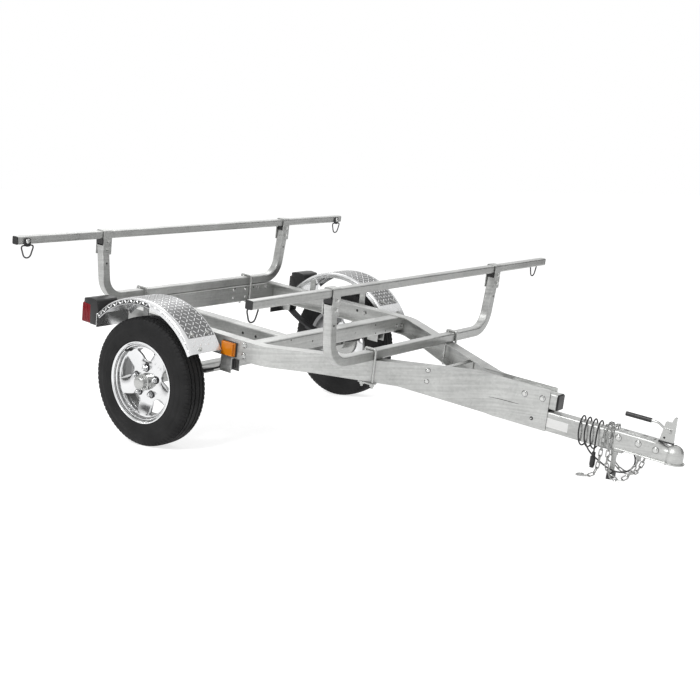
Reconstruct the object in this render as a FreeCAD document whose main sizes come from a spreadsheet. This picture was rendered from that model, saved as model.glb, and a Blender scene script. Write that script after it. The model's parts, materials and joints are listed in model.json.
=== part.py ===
"""Light boat trailer: a flat channel frame on one sprung axle, with two load bars on bent
tube cradles. It stands as it parks, on its two wheels and the short leg under its tongue."""

import FreeCAD
import Part
import Sketcher

import math
import os
import re

V = FreeCAD.Vector
Y_AXIS = V(0, 1, 0)
Z_AXIS = V(0, 0, 1)
ALIAS = re.compile(r"\b[A-Z][A-Za-z]+\b")
START, END = 1, 2
PLANES = {"XY": "XY_Plane", "XZ": "XZ_Plane", "YZ": "YZ_Plane"}
TURNS = {"X": (Y_AXIS, 90), "Y": (V(1, 0, 0), -90), "Z": (Z_AXIS, 0)}

doc = FreeCAD.newDocument("BoatTrailer")
sheet = doc.addObject("Spreadsheet::Sheet", "Sizes")

# Driving sizes in millimetres and degrees. Lengths run from the wheel axis: forward, to the left and up.
SIZES = (
    ("RimRadius", 166),
    ("RimWidth", 102),
    ("RimWall", 4),
    ("RimLip", 13),
    ("RimWell", 14),
    ("RimDish", 24),
    ("TyreSection", 99),
    ("TyreWidth", 118),
    ("TreadWidth", 96),
    ("TreadCrown", 3),
    ("TyreWall", 9),
    ("SpokeCount", 5),
    ("SpokeHubWidth", 40),
    ("SpokeRimWidth", 62),
    ("SpokeThick", 14),
    ("SpokeStart", -16),
    ("WheelOffset", 126),
    ("HubRadius", 34),
    ("HubLength", 88),
    ("HubFlangeRadius", 68),
    ("HubFlangeThick", 9),
    ("HubBore", 12.75),
    ("CapLength", 26),
    ("CapRadius", 27),
    ("CapDome", 9),
    ("StudCircle", 57),
    ("StudCount", 5),
    ("NutRadius", 10),
    ("NutLength", 15),
    ("NutTip", 7),
    ("SpindleRadius", 12.7),
    ("AxleTube", 45),
    ("AxleWall", 5),
    ("AxleRise", 12),
    ("AxleGap", 6),
    ("FrameTop", 236),
    ("RailDepth", 80),
    ("RailFlange", 50),
    ("SheetWall", 4),
    ("BendRadius", 3),
    ("RailHalfWidth", 530),
    ("RailKneeX", 469),
    ("RailNeckX", 1226),
    ("RailEndX", 1462),
    ("RailKneeRadius", 170),
    ("RailNeckRadius", 120),
    ("RailBellyX", 640),
    ("RailBelly", 12),
    ("RailTaperX", 915),
    ("RailDeepX", 1235),
    ("RailDeepZ", 74),
    ("RailHoleX", 153),
    ("RearCrossX", -423),
    ("CrossFlange", 50),
    ("FrontCrossX", 418),
    ("NestDepth", 65),
    ("CrossHoleY", 150),
    ("InnerY", 314),
    ("InnerHoleX", 175),
    ("InnerHoleStep", 71),
    ("FrameHole", 4.5),
    ("TongueWidth", 50.8),
    ("TongueHeight", 76.2),
    ("TongueWall", 4),
    ("TongueRearX", 1236),
    ("TongueEndX", 1772),
    ("StubBottom", 160),
    ("StubHeight", 62),
    ("StubRearX", 1270),
    ("StubEndX", 1490),
    ("PlugThick", 8),
    ("TubeCorner", 3),
    ("CradleTube", 38.1),
    ("CradleWall", 3),
    ("CradleHalfTop", 590),
    ("CradleTopZ", 487),
    ("CradleLean", 7),
    ("CradleBend", 95),
    ("CradleHoleZ", 407),
    ("BarSize", 31.75),
    ("BarWall", 2.5),
    ("BarLength", 2080),
    ("BarBottom", 512),
    ("RearBarX", -398),
    ("FrontBarX", 814),
    ("CapThick", 3),
    ("SaddleInset", 5),
    ("SaddleWidth", 44),
    ("SaddleWall", 4),
    ("SaddleDrop", 42),
    ("RingInset", 28),
    ("RingWire", 2.2),
    ("RingHalf", 33),
    ("RingHeight", 60),
    ("RingCorner", 10),
    ("RingFoot", 13),
    ("ClipHalf", 15),
    ("ClipHeight", 26),
    ("ClipThick", 7),
    ("BoltRadius", 5),
    ("NutAcross", 8.5),
    ("NutHeight", 8),
    ("BoltTail", 8),
    ("HookPlate", 5),
    ("HookPlateHalf", 14),
    ("HookBoltY", 345),
    ("HookInset", 4),
    ("SpringInset", 25),
    ("SpringWidth", 45),
    ("LeafThick", 7),
    ("SpringPad", 4),
    ("SpringBow", 480),
    ("SpringCentreX", 33),
    ("SpringFrontX", 262),
    ("SpringRearX", -240),
    ("HelperHalf", 150),
    ("SpringEye", 11),
    ("ShackleX", -286),
    ("ShackleLow", 111),
    ("ShackleDepth", 19),
    ("ShackleThick", 6),
    ("ShackleInner", 85),
    ("ShackleOuter", 47),
    ("HangerWall", 4),
    ("HangerRearX", 259),
    ("HangerFrontX", 315),
    ("HangerLow", 92),
    ("ShackleBoxHalf", 20),
    ("ShackleBoxLow", 128),
    ("ClampHalf", 36),
    ("ClampPlate", 6),
    ("ClampEdge", 14),
    ("ClampLeg", 4.5),
    ("FenderRadius", 345),
    ("FenderWall", 2.5),
    ("FenderGap", 30),
    ("FenderWidth", 175),
    ("FenderLip", 24),
    ("FenderBend", 8),
    ("FenderFrontAngle", 33),
    ("FenderRearAngle", 137),
    ("FenderPlateDrop", 58),
    ("BracketX", 150),
    ("BracketWidth", 30),
    ("BracketWall", 4),
    ("BracketLow", 190),
    ("BracketTab", 20),
    ("BracketLap", 12),
    ("LampWidth", 112),
    ("LampInset", 6),
    ("LampDrop", 54.3),
    ("LampHeight", 83),
    ("LampDepth", 44),
    ("LensDepth", 50),
    ("HoodDepth", 85.4),
    ("HoodRise", 46.7),
    ("HoodTopAngle", 125.6),
    ("HoodTopRise", 38.5),
    ("HoodFrontAngle", 124.5),
    ("HoodFrontRise", 15.3),
    ("HoodFootRise", 10.7),
    ("LensCorner", 8),
    ("MarkerGap", 13.7),
    ("MarkerZ", 192),
    ("MarkerWidth", 68),
    ("MarkerHeight", 54),
    ("MarkerDepth", 14),
    ("MarkerBase", 7),
    ("MarkerEdge", 2),
    ("CouplerRearX", 1738),
    ("CouplerBallX", 1958),
    ("CouplerWall", 5),
    ("CouplerDepth", 62),
    ("CouplerFlange", 7),
    ("CouplerInset", 10),
    ("CouplerRib", 3.5),
    ("CouplerRibHalf", 15),
    ("CupWall", 7),
    ("BallRadius", 25.4),
    ("BallPlay", 1),
    ("PassHalf", 22.7),
    ("LatchHalf", 4),
    ("LatchRearX", 1895),
    ("LatchFrontX", 1948),
    ("LatchShoulderZ", 232),
    ("LatchTipX", 1945),
    ("LatchTipZ", 272),
    ("RodRadius", 4.5),
    ("RodZ", 206),
    ("GripRearX", 1756),
    ("GripFrontX", 1871),
    ("GripZ", 220),
    ("GripRadius", 8.5),
    ("LegX", 1738),
    ("LegWidth", 30),
    ("LegThick", 10),
    ("LegFoot", 26),
    ("FootMargin", 5),
    ("ChainWire", 4.6),
    ("ChainInner", 24.5),
    ("ChainGap", 8),
    ("ChainPlay", 0.7),
    ("AnchorX", 1843),
    ("AnchorY", 33),
    ("AnchorDrop", 12),
    ("HookLength", 30),
    ("HookWidth", 28),
    ("LinkClear", 1),
    ("ChainBeside", 2),
    ("ChainAbove", 3.5),
    ("ChainTurn", 8),
    ("ChainRise", 40),
    ("RightSlack", 14),
    ("LeftSlack", 31),
    ("NearCrossX", 1726),
    ("FarCrossX", 1702),
    ("CordRadius", 3),
    ("LoopRearX", 1586),
    ("LoopPitch", 24),
    ("LoopTurns", 3.5),
    ("LoopSteps", 12),
    ("LoopHalfWidth", 39),
    ("LoopHalfHeight", 54.5),
    ("PlugRadius", 10),
    ("PlugLength", 58),
    ("Seat", 0.3),
    ("Pitch", 7.6),
    ("Middle", 0),
)

# Places that follow from the driving sizes.
DERIVED = (
    ("TyreRadius", "RimRadius + TyreSection"),
    ("WheelCentreY", "RailHalfWidth + WheelOffset"),
    ("SpringY", "RailHalfWidth - SpringInset"),
    ("ShackleInnerY", "SpringY - ShackleInner"),
    ("ShackleOuterY", "SpringY + ShackleOuter"),
    ("FenderInnerY", "RailHalfWidth + FenderGap"),
    ("FenderOuterY", "FenderInnerY + FenderWidth"),
    ("RingY", "BarLength / 2 - RingInset"),
    ("SaddleY", "CradleHalfTop - SaddleInset"),
    ("BeadRadius", "RimRadius - RimLip"),
    ("WellRadius", "BeadRadius - RimWell"),
    ("RimHalf", "RimWidth / 2"),
    ("DiscFace", "RimDish"),
    ("DiscBack", "RimDish - SpokeThick"),
    ("DiscRadius", "HubFlangeRadius + RimWall * 2"),
    ("RailLow", "FrameTop - RailDepth"),
    ("RailNear", "TongueWidth / 2 + Seat + SheetWall"),
    ("RearFaceX", "RearCrossX + CrossFlange"),
    ("RailRearX", "RearFaceX + Seat"),
    ("RailSlant", "atan((RailHalfWidth - RailNear) / (RailNeckX - RailKneeX))"),
    ("SlantShift", "tan(RailSlant / 2)"),
    ("NestTop", "FrameTop - SheetWall - Seat"),
    ("NestLow", "NestTop - NestDepth"),
    ("NestHalf", "RailHalfWidth - SheetWall - Seat"),
    ("TongueTop", "RailDeepZ + TongueHeight"),
    ("CradleHalf", "CradleTube / 2"),
    ("CradleRunZ", "FrameTop + Seat + CradleHalf"),
    ("CradleFoot", "CradleHalfTop - (CradleTopZ - CradleRunZ) * tan(CradleLean)"),
    ("FrontHookY", "RailHalfWidth - (FrontBarX - RailKneeX) * tan(RailSlant) - HookInset"),
    ("HookTop", "FrameTop + CradleTube + BoltRadius + 2 * Seat"),
    ("RearReach", "CrossFlange / 2 + BoltRadius + Seat"),
    ("FrontReach", "CradleHalf + BoltRadius + Seat"),
    ("BellySlope", "RailBelly / (RailTaperX - RailBellyX)"),
    ("FrontHookLow", "RailLow - BellySlope * (FrontBarX + FrontReach + 2 * BoltRadius - RailBellyX) - Seat"),
    ("RearHookLow", "RailLow - Seat"),
    ("AxleTop", "AxleRise + AxleTube / 2"),
    ("AxleLow", "AxleRise - AxleTube / 2"),
    ("AxleEnd", "WheelCentreY - HubLength / 2 - AxleGap"),
    ("SpindleEnd", "WheelCentreY + HubLength / 2 - AxleGap"),
    ("SpringLow", "AxleTop + SpringPad + Seat"),
    ("SpringCentreZ", "SpringLow + LeafThick + SpringBow"),
    ("SpringHalf", "SpringWidth / 2"),
    ("LeafMid", "SpringBow - LeafThick / 2"),
    ("FrontEyeZ", "SpringCentreZ - sqrt(LeafMid ^ 2 - (SpringFrontX - SpringCentreX) ^ 2)"),
    ("RearEyeZ", "SpringCentreZ - sqrt(LeafMid ^ 2 - (SpringRearX - SpringCentreX) ^ 2)"),
    ("HangerHalf", "SpringHalf + Seat"),
    ("ClampRise", "(ClampHalf + SpringCentreX) ^ 2 / (2 * (SpringBow - LeafThick))"),
    ("ClampTop", "SpringLow + 2 * LeafThick + ClampRise + Seat"),
    ("ClampLow", "AxleLow - Seat"),
    ("FenderRearX", "FenderRadius * cos(FenderRearAngle) - Seat"),
    ("FenderRearZ", "FenderRadius * sin(FenderRearAngle)"),
    ("BracketTop", "sqrt((FenderRadius - FenderLip) ^ 2 - (BracketX + BracketWidth / 2) ^ 2) + BracketLap"),
    ("LampLow", "FenderRearZ - LampDrop"),
    ("LampHigh", "LampLow + LampHeight"),
    ("HoodRearX", "FenderRearX - HoodDepth"),
    ("HoodRearZ", "FenderRearZ + HoodRise"),
    ("HoodTopX", "(FenderRadius + HoodTopRise) * cos(HoodTopAngle)"),
    ("HoodTopZ", "(FenderRadius + HoodTopRise) * sin(HoodTopAngle)"),
    ("HoodFrontX", "(FenderRadius + HoodFrontRise) * cos(HoodFrontAngle)"),
    ("HoodFrontZ", "(FenderRadius + HoodFrontRise) * sin(HoodFrontAngle)"),
    ("HoodFootZ", "FenderRearZ + HoodFootRise"),
    ("MarkerX", "FenderRadius * cos(FenderFrontAngle) + MarkerGap"),
    ("LampFront", "FenderRearX - Seat"),
    ("LampRear", "LampFront - LampDepth"),
    ("LampOuterY", "FenderOuterY - LampInset"),
    ("LampInnerY", "LampOuterY - LampWidth"),
    ("MarkerY", "RailHalfWidth + Seat"),
    ("CouplerHalf", "TongueWidth / 2 + Seat"),
    ("CouplerTop", "TongueTop + Seat"),
    ("CouplerLow", "CouplerTop - CouplerDepth"),
    ("CupInner", "BallRadius + BallPlay"),
    ("CupOuter", "CupInner + CupWall"),
    ("SocketZ", "CouplerTop + CouplerWall - CupOuter"),
    ("LatchFootZ", "CouplerTop + CouplerWall + CouplerRib + Seat"),
    ("LegFloorZ", "(LegX * sin(Pitch) - TyreRadius) / cos(Pitch)"),
    ("FootRearX", "LegX - LegThick / 2 - FootMargin"),
    ("FootFrontX", "LegX + LegThick / 2 + FootMargin"),
)


# The slack pieces' routes, in steps of (along, across, up). The chains' first steps run from the
# anchor, and the rest from where they cross the tongue; heights of 0 and more there are lifts
# above the floor, except in the tails. A missing number is filled in by the chain's own slack.
CHAIN_FALL = ((-6, 3, 62), (-22, 8, 22), (-50, None, 0), (-80, None, 3))
CHAIN_CLIMB = ((20, 0, 22), (6, -4, 55))
RIGHT_TAIL = ((0, 3, 100), (0, 5, 62))
LEFT_TAIL = ((0, 3, 100), (-1, 5, 50), (-3, 7, 8), (-9, 9, -17), (-20, 10, None), (-44, 10, None))
LINK_NOSE = 0.36
HOOK_BAR = 0.62
HOOK_SHAPE = ((0, 0), (0.45, 0), (0.86, 0.22), (1, 0.6), (0.8, 0.95), (0.4, 1), (0.12, 0.8), (0.05, 0.5))
# The cord's route from the tongue tube's end to its turns, as (along, across, height).
CORD_ROUTE = (
    (-46, 0, 110), (-12, -1, 108), (22, -3, 100), (45, -6, 80), (54, -9, 52), (46, -14, 26), (24, -20, 8),
    (-6, -24, 2), (-36, -26, 6), (-66, -18, 14), (-98, -4, 22), (-130, 12, 30), (-156, 26, 44),
)
CORD_TAIL = ((1, -2, -28), (1, -2, -56))
# The plug's parts, as shares of its length and radius: where each starts, how long and how wide.
PLUG_PARTS = ((0, 0.3, 0.7), (0.3, 0.55, 1), (0.85, 0.15, 0.82))


def fill_sheet():
    """Writes the driving sizes as plain numbers and the places that follow as formulas."""
    rows = [(alias, str(number)) for alias, number in SIZES]
    rows += [(alias, f"={formula}") for alias, formula in DERIVED]
    for row, (alias, content) in enumerate(rows, start=1):
        sheet.set(f"A{row}", alias)
        sheet.set(f"B{row}", content)
        sheet.setAlias(f"B{row}", alias)
    doc.recompute()


def bound(formula):
    """The formula with each alias named as a cell of the sheet."""
    return ALIAS.sub(lambda found: f"<<Sizes>>.{found.group(0)}", str(formula))


def value(formula):
    """The number that a formula gives now."""
    found = sheet.evalExpression(bound(formula))
    return float(getattr(found, "Value", found))


def bind(item, **formulas):
    """Ties properties to the sheet; an underscore stands for a step in the property's path."""
    for path, formula in formulas.items():
        item.setExpression(path.replace("_", "."), bound(formula))
    return item


fill_sheet()
NODES = []


def stand(label, item):
    """Names a finished sub-part and leans it with the parked trailer."""
    item.Label = label
    item.Placement = FreeCAD.Placement(V(0, 0, 0), FreeCAD.Rotation(Y_AXIS, value("Pitch")))
    bind(item, Placement_Base_x="-Middle", Placement_Base_z="TyreRadius", Placement_Rotation_Angle="Pitch")
    NODES.append(item)
    return item


def flipped(item):
    """The same shape on the other side of the trailer."""
    copy = doc.addObject("Part::Mirroring", f"{item.Name}_flipped")
    copy.Source = item
    copy.Normal = Y_AXIS
    copy.Base = V(0, 0, 0)
    return copy


def pair(stem, item):
    """A right-hand sub-part and its mirrored left-hand one."""
    stand(f"{stem}_right", item)
    copy = flipped(item)
    copy.Label = f"{stem}_left"
    NODES.append(copy)


def slab(name, x, y, z):
    """A box between pairs of formulas."""
    item = doc.addObject("Part::Box", name)
    bind(item, Length=f"({x[1]}) - ({x[0]})", Width=f"({y[1]}) - ({y[0]})", Height=f"({z[1]}) - ({z[0]})")
    return bind(item, Placement_Base_x=x[0], Placement_Base_y=y[0], Placement_Base_z=z[0])


def rod(name, axis, radius, start, length):
    """A round bar that runs along one axis from a place."""
    item = doc.addObject("Part::Cylinder", name)
    turn, angle = TURNS[axis]
    item.Placement = FreeCAD.Placement(V(0, 0, 0), FreeCAD.Rotation(turn, angle))
    bind(item, Radius=radius, Height=length)
    return bind(item, Placement_Base_x=start[0], Placement_Base_y=start[1], Placement_Base_z=start[2])


def ball(name, radius, centre):
    """A sphere about a place."""
    item = bind(doc.addObject("Part::Sphere", name), Radius=radius)
    return bind(item, Placement_Base_x=centre[0], Placement_Base_y=centre[1], Placement_Base_z=centre[2])


def fused(name, *pieces):
    """One solid made of pieces that overlap."""
    item = doc.addObject("Part::MultiFuse", name)
    item.Shapes = list(pieces)
    item.Refine = True
    return item


def less(name, base, *tools):
    """A piece with others taken out of it."""
    item = doc.addObject("Part::Cut", name)
    item.Base = base
    item.Tool = tools[0] if len(tools) == 1 else fused(f"{name}_tools", *tools)
    item.Refine = True
    return item


def gathered(name, *pieces):
    """Solids that lie apart, held as one sub-part."""
    item = doc.addObject("Part::Compound", name)
    item.Links = list(pieces)
    return item


def pin(sketch, geometry, end, corner):
    """Ties a sketch point to the origin by two sizes."""
    for kind, formula in (("DistanceX", corner[0]), ("DistanceY", corner[1])):
        index = sketch.addConstraint(Sketcher.Constraint(kind, -1, 1, geometry, end, value(formula)))
        sketch.setExpression(f"Constraints[{index}]", bound(formula))


def add_circle(sketch, centre, radius):
    """A circle with its centre and radius tied to the sheet."""
    middle = V(value(centre[0]), value(centre[1]), 0)
    circle = sketch.addGeometry(Part.Circle(middle, Z_AXIS, value(radius)), False)
    pin(sketch, circle, 3, centre)
    index = sketch.addConstraint(Sketcher.Constraint("Radius", circle, value(radius)))
    sketch.setExpression(f"Constraints[{index}]", bound(radius))


def add_outline(sketch, corners, closed=True):
    """Straight runs between corners; a corner with a third size is rounded by that radius."""
    places = [V(value(c[0]), value(c[1]), 0) for c in corners]
    count = len(places)
    inner = [closed or 0 < i < count - 1 for i in range(count)]
    radii = [value(c[2]) if len(c) > 2 and inner[i] else 0 for i, c in enumerate(corners)]
    arrive = list(places)
    leave = list(places)
    for i, place in enumerate(places):
        if radii[i]:
            back = (places[i - 1] - place).normalize()
            ahead = (places[(i + 1) % count] - place).normalize()
            reach = radii[i] / math.tan(back.getAngle(ahead) / 2)
            arrive[i] = place + back * reach
            leave[i] = place + ahead * reach
    runs = count if closed else count - 1
    lines = []
    for i in range(runs):
        lines.append(sketch.addGeometry(Part.LineSegment(leave[i], arrive[(i + 1) % count]), False))
    for i, place in enumerate(places):
        if not inner[i]:
            pin(sketch, lines[0] if i == 0 else lines[-1], START if i == 0 else END, corners[i])
        elif radii[i]:
            add_round(sketch, lines[i - 1], lines[i], place, arrive[i], leave[i], corners[i])
        else:
            sketch.addConstraint(Sketcher.Constraint("Coincident", lines[i - 1], END, lines[i], START))
            pin(sketch, lines[i], START, corners[i])


def add_round(sketch, before, after, place, arrive, leave, corner):
    """An arc that touches both runs at a corner, with the corner itself tied to the sheet."""
    radius = value(corner[2])
    back = (arrive - place).normalize()
    ahead = (leave - place).normalize()
    centre = place + (back + ahead).normalize() * (radius / math.sin(back.getAngle(ahead) / 2))
    left = back.cross(ahead).z < 0
    first, last = (arrive, leave) if left else (leave, arrive)
    angles = [math.atan2(p.y - centre.y, p.x - centre.x) for p in (first, last)]
    if angles[1] < angles[0]:
        angles[1] += 2 * math.pi
    arc = sketch.addGeometry(Part.ArcOfCircle(Part.Circle(centre, Z_AXIS, radius), *angles), False)
    sketch.addConstraint(Sketcher.Constraint("Tangent", before, END, arc, START if left else END))
    sketch.addConstraint(Sketcher.Constraint("Tangent", arc, END if left else START, after, START))
    index = sketch.addConstraint(Sketcher.Constraint("Radius", arc, radius))
    sketch.setExpression(f"Constraints[{index}]", bound(corner[2]))
    dot = sketch.addGeometry(Part.Point(place), True)
    sketch.addConstraint(Sketcher.Constraint("PointOnObject", dot, START, before))
    sketch.addConstraint(Sketcher.Constraint("PointOnObject", dot, START, after))
    pin(sketch, dot, START, corner)


def new_body(label):
    """An empty body for sketched features."""
    body = doc.addObject("PartDesign::Body", label)
    body.Label = label
    return body


def origin_item(body, role):
    """One of the body's own planes or axes."""
    return [item for item in body.Origin.OriginFeatures if item.Role == role][0]


def drawn(body, plane, offset="0"):
    """An empty sketch on one of the body's planes, moved along that plane's normal."""
    sketch = body.newObject("Sketcher::SketchObject", f"{body.Name}_sketch")
    sketch.AttachmentSupport = [(origin_item(body, PLANES[plane]), "")]
    sketch.MapMode = "FlatFace"
    return bind(sketch, AttachmentOffset_Base_z=offset)


def outlined(body, plane, offset, *loops):
    """A sketch that holds closed outlines; a loop of one circle is (centre, radius)."""
    sketch = drawn(body, plane, offset)
    for loop in loops:
        if len(loop) == 2:
            add_circle(sketch, *loop)
        else:
            add_outline(sketch, loop)
    return sketch


def feature(body, kind, sketch, **formulas):
    """A sketched feature that becomes the body's newest state."""
    item = body.newObject(f"PartDesign::{kind}", f"{body.Name}_{kind.lower()}")
    item.Profile = sketch
    body.Tip = item
    return bind(item, **formulas)


def pad(body, plane, offset, length, *loops):
    """Pushes outlines along the plane's normal."""
    return feature(body, "Pad", outlined(body, plane, offset, *loops), Length=length)


def pad_both(body, plane, length, *loops):
    """Pushes outlines to both sides of the plane."""
    item = pad(body, plane, "0", length, *loops)
    item.SideType = "Symmetric"
    return item


def bore(body, plane, *loops):
    """Takes outlines out all the way through."""
    item = feature(body, "Pocket", outlined(body, plane, "0", *loops))
    item.Type = "ThroughAll"
    item.SideType = "Symmetric"
    return item


def turned(body, *loops):
    """Spins outlines, given as places across and out from the wheel axis, about that axis."""
    sketch = outlined(body, "YZ", "0", *loops)
    item = feature(body, "Revolution", sketch)
    item.ReferenceAxis = (sketch, ["H_Axis"])
    item.Angle = 360
    return item


def repeated(body, item, count):
    """Repeats a feature evenly about the wheel axis."""
    pattern = body.newObject("PartDesign::PolarPattern", f"{body.Name}_pattern")
    pattern.Originals = [item]
    pattern.Axis = (origin_item(body, "Y_Axis"), [""])
    pattern.Angle = 360
    body.Tip = pattern
    return bind(pattern, Occurrences=count)


def piped(body, profile, spine, kind="AdditivePipe"):
    """Carries a profile along a drawn line."""
    item = feature(body, kind, profile)
    item.Spine = (spine, [])
    return item


def box_loop(u, v, radius=None):
    """The four corners of a rectangle between pairs of formulas."""
    corners = ((u[0], v[0]), (u[1], v[0]), (u[1], v[1]), (u[0], v[1]))
    return [c if radius is None else c + (radius,) for c in corners]


def tube_loops(u, v, wall):
    """The outer and inner outlines of a rectangular tube with rounded corners."""
    inner_u = (f"{u[0]} + {wall}", f"{u[1]} - {wall}")
    inner_v = (f"{v[0]} + {wall}", f"{v[1]} - {wall}")
    return box_loop(u, v, f"TubeCorner + {wall}"), box_loop(inner_u, inner_v, "TubeCorner")


def channel_loop(open_u, web_u, inward, v):
    """A channel section: the web stands at web_u and the flanges reach to open_u."""
    inner = f"{web_u} {inward} SheetWall"
    outer_bend = "BendRadius + SheetWall"
    return [
        (open_u, v[0]), (web_u, v[0], outer_bend), (web_u, v[1], outer_bend), (open_u, v[1]),
        (open_u, f"{v[1]} - SheetWall"), (inner, f"{v[1]} - SheetWall", "BendRadius"),
        (inner, f"{v[0]} + SheetWall", "BendRadius"), (open_u, f"{v[0]} + SheetWall"),
    ]


def strip_loop(near, far):
    """The plan of the main rail between two offsets inward from its outer face."""
    def line(offset, flip):
        shift = f"({offset}) * SlantShift"
        corners = [
            ("RailRearX", f"-RailHalfWidth + {offset}"),
            (f"RailKneeX - {shift}", f"-RailHalfWidth + {offset}", f"RailKneeRadius - ({offset})"),
            (f"RailNeckX - {shift}", f"-RailNear + {offset}", f"RailNeckRadius + {offset}"),
            ("RailEndX", f"-RailNear + {offset}"),
        ]
        return corners[::-1] if flip else corners
    return line(near, False) + line(far, True)


def under_loop(lift):
    """What lies below the main rail's lower edge, seen from the side and moved up by a lift."""
    floor = "RailDeepZ - RailDepth"
    return [
        ("RailRearX - RailDepth", floor), ("RailRearX - RailDepth", f"RailLow + {lift}"),
        ("RailBellyX", f"RailLow + {lift}"), ("RailTaperX", f"RailLow - RailBelly + {lift}"),
        ("RailDeepX", f"RailDeepZ + {lift}"), ("RailEndX + RailDepth", f"RailDeepZ + {lift}"),
        ("RailEndX + RailDepth", floor),
    ]


def rails():
    """The two main rails: channels with the web outward, side by side, then turned in to the
    tongue, where the web grows deeper to take hold of the tongue tube."""
    blank = new_body("rail_blank")
    pad(blank, "XY", "RailDeepZ", "FrameTop - RailDeepZ", strip_loop("0", "RailFlange"))
    bore(blank, "XZ", under_loop("0"))
    trim = box_loop(("RailKneeX", "RailEndX + RailDepth"), ("-RailNear + SheetWall", "RailHalfWidth"))
    bore(blank, "XY", trim)
    hollow = new_body("rail_hollow")
    depth = "FrameTop - SheetWall - RailDeepZ"
    pad(hollow, "XY", "RailDeepZ", depth, strip_loop("SheetWall", "RailFlange + SheetWall"))
    bore(hollow, "XZ", under_loop("SheetWall"))
    leg = "FrontBarX - FrontReach"
    hook_hole = rod("hook_hole", "Z", "BoltRadius + BallPlay", (leg, "-FrontHookY", "RailDeepZ"), "RailDepth * 3")
    side_hole = rod("side_hole", "Y", "FrameHole", ("RailHoleX", "-RailHalfWidth - Seat", "NestTop - NestDepth / 2"),
                    "SheetWall * 2")
    pair("rail", less("rail", less("rail_channel", blank, hollow), hook_hole, side_hole))


def cross_members():
    """The rear channel across the rails' ends, the front one nested between them, and the
    inner channel that joins both."""
    rear = new_body("rear_crossmember")
    pad_both(rear, "XZ", "2 * RailHalfWidth", channel_loop("RearCrossX", "RearFaceX", "-", ("RailLow", "FrameTop")))
    stand("rear_crossmember", rear)
    web = new_body("front_channel")
    open_x = "FrontCrossX - CrossFlange"
    pad_both(web, "XZ", "2 * NestHalf", channel_loop(open_x, "FrontCrossX", "-", ("NestLow", "NestTop")))
    hole_z = "NestTop - NestDepth / 2"
    bore(web, "YZ", (("CrossHoleY", hole_z), "FrameHole"), (("-CrossHoleY", hole_z), "FrameHole"))
    ends = []
    for low, high in (("-NestHalf", "-NestHalf + SheetWall"), ("NestHalf - SheetWall", "NestHalf")):
        ends.append(slab("end_plate", (open_x, "FrontCrossX - SheetWall"), (low, high), ("NestLow", "NestTop")))
    stand("front_crossmember", fused("front_crossmember", web, *ends))
    inner = new_body("side_channel")
    start = "RearFaceX + Seat"
    length = f"{open_x} - Seat - ({start})"
    pad(inner, "YZ", start, length, channel_loop("-InnerY + CrossFlange", "-InnerY", "+", ("NestLow", "NestTop")))
    step = "InnerHoleX + InnerHoleStep"
    bore(inner, "XZ", (("InnerHoleX", hole_z), "FrameHole"), ((step, hole_z), "FrameHole"))
    stand("side_channel_right", inner)


def tongue():
    """The tongue tube low between the rails and the short stub tube above it, with its plug."""
    wide = ("-TongueWidth / 2", "TongueWidth / 2")
    tube = new_body("tongue_tube")
    pad(tube, "YZ", "TongueRearX", "TongueEndX - TongueRearX",
        *tube_loops(wide, ("RailDeepZ", "TongueTop"), "TongueWall"))
    stand("tongue_tube", tube)
    high = ("StubBottom", "StubBottom + StubHeight")
    stub = new_body("tongue_stub")
    pad(stub, "YZ", "StubRearX", "StubEndX - StubRearX", *tube_loops(wide, high, "TongueWall"))
    stand("tongue_stub", stub)
    plug = new_body("tongue_plug")
    pad(plug, "YZ", "StubEndX", "PlugThick / 2", box_loop(wide, high, "TubeCorner + TongueWall"))
    inset = "TubeCorner"
    face_u = (f"{wide[0]} + {inset}", f"{wide[1]} - {inset}")
    face_v = (f"{high[0]} + {inset}", f"{high[1]} - {inset}")
    pad(plug, "YZ", "StubEndX + PlugThick / 2", "PlugThick / 2", box_loop(face_u, face_v, "TubeCorner"))
    stand("tongue_plug", plug)


def cradles():
    """The two bent tubes that carry the load bars, and the plugs in their upper ends."""
    plugs = []
    for name, x in (("rear", "RearBarX"), ("front", "FrontBarX")):
        body = new_body(f"{name}_half_cradle")
        spine = drawn(body, "YZ", x)
        line = [("0", "CradleRunZ"), ("-CradleFoot", "CradleRunZ", "CradleBend"), ("-CradleHalfTop", "CradleTopZ")]
        add_outline(spine, line, closed=False)
        for kind, inset in (("AdditivePipe", "0"), ("SubtractivePipe", "CradleWall")):
            across = (f"{x} - CradleHalf + {inset}", f"{x} + CradleHalf - {inset}")
            upward = (f"CradleRunZ - CradleHalf + {inset}", f"CradleRunZ + CradleHalf - {inset}")
            loop = box_loop(across, upward, f"TubeCorner + CradleWall - {inset}")
            piped(body, outlined(body, "XZ", "0", loop), spine, kind)
        hole_y = "-CradleHalfTop + (CradleTopZ - CradleHoleZ) * tan(CradleLean)"
        hole = rod("upright_hole", "X", "FrameHole", (x, hole_y, "CradleHoleZ"), "CradleTube")
        half = less(f"{name}_drilled_half", body, hole)
        stand(f"{name}_cradle", fused(f"{name}_cradle", half, flipped(half)))
        plug = new_body(f"{name}_cradle_plug")
        low = "CradleTopZ + CradleHalf * sin(CradleLean) + Seat"
        high = "BarBottom - Seat"
        loop = [(plug_side(side, z), z) for side, z in (("-", low), ("+", low), ("+", high), ("-", high))]
        pad(plug, "YZ", f"{x} - CradleHalf", "CradleTube", loop)
        plugs += [plug, flipped(plug)]
    stand("cradle_plugs", gathered("cradle_plugs", *plugs))


def plug_side(side, z):
    """How far out a cradle's leaning upright reaches at a height, on its inner or outer side."""
    return f"-CradleHalfTop {side} CradleHalf / cos(CradleLean) - ({z} - CradleTopZ) * tan(CradleLean)"


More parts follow.
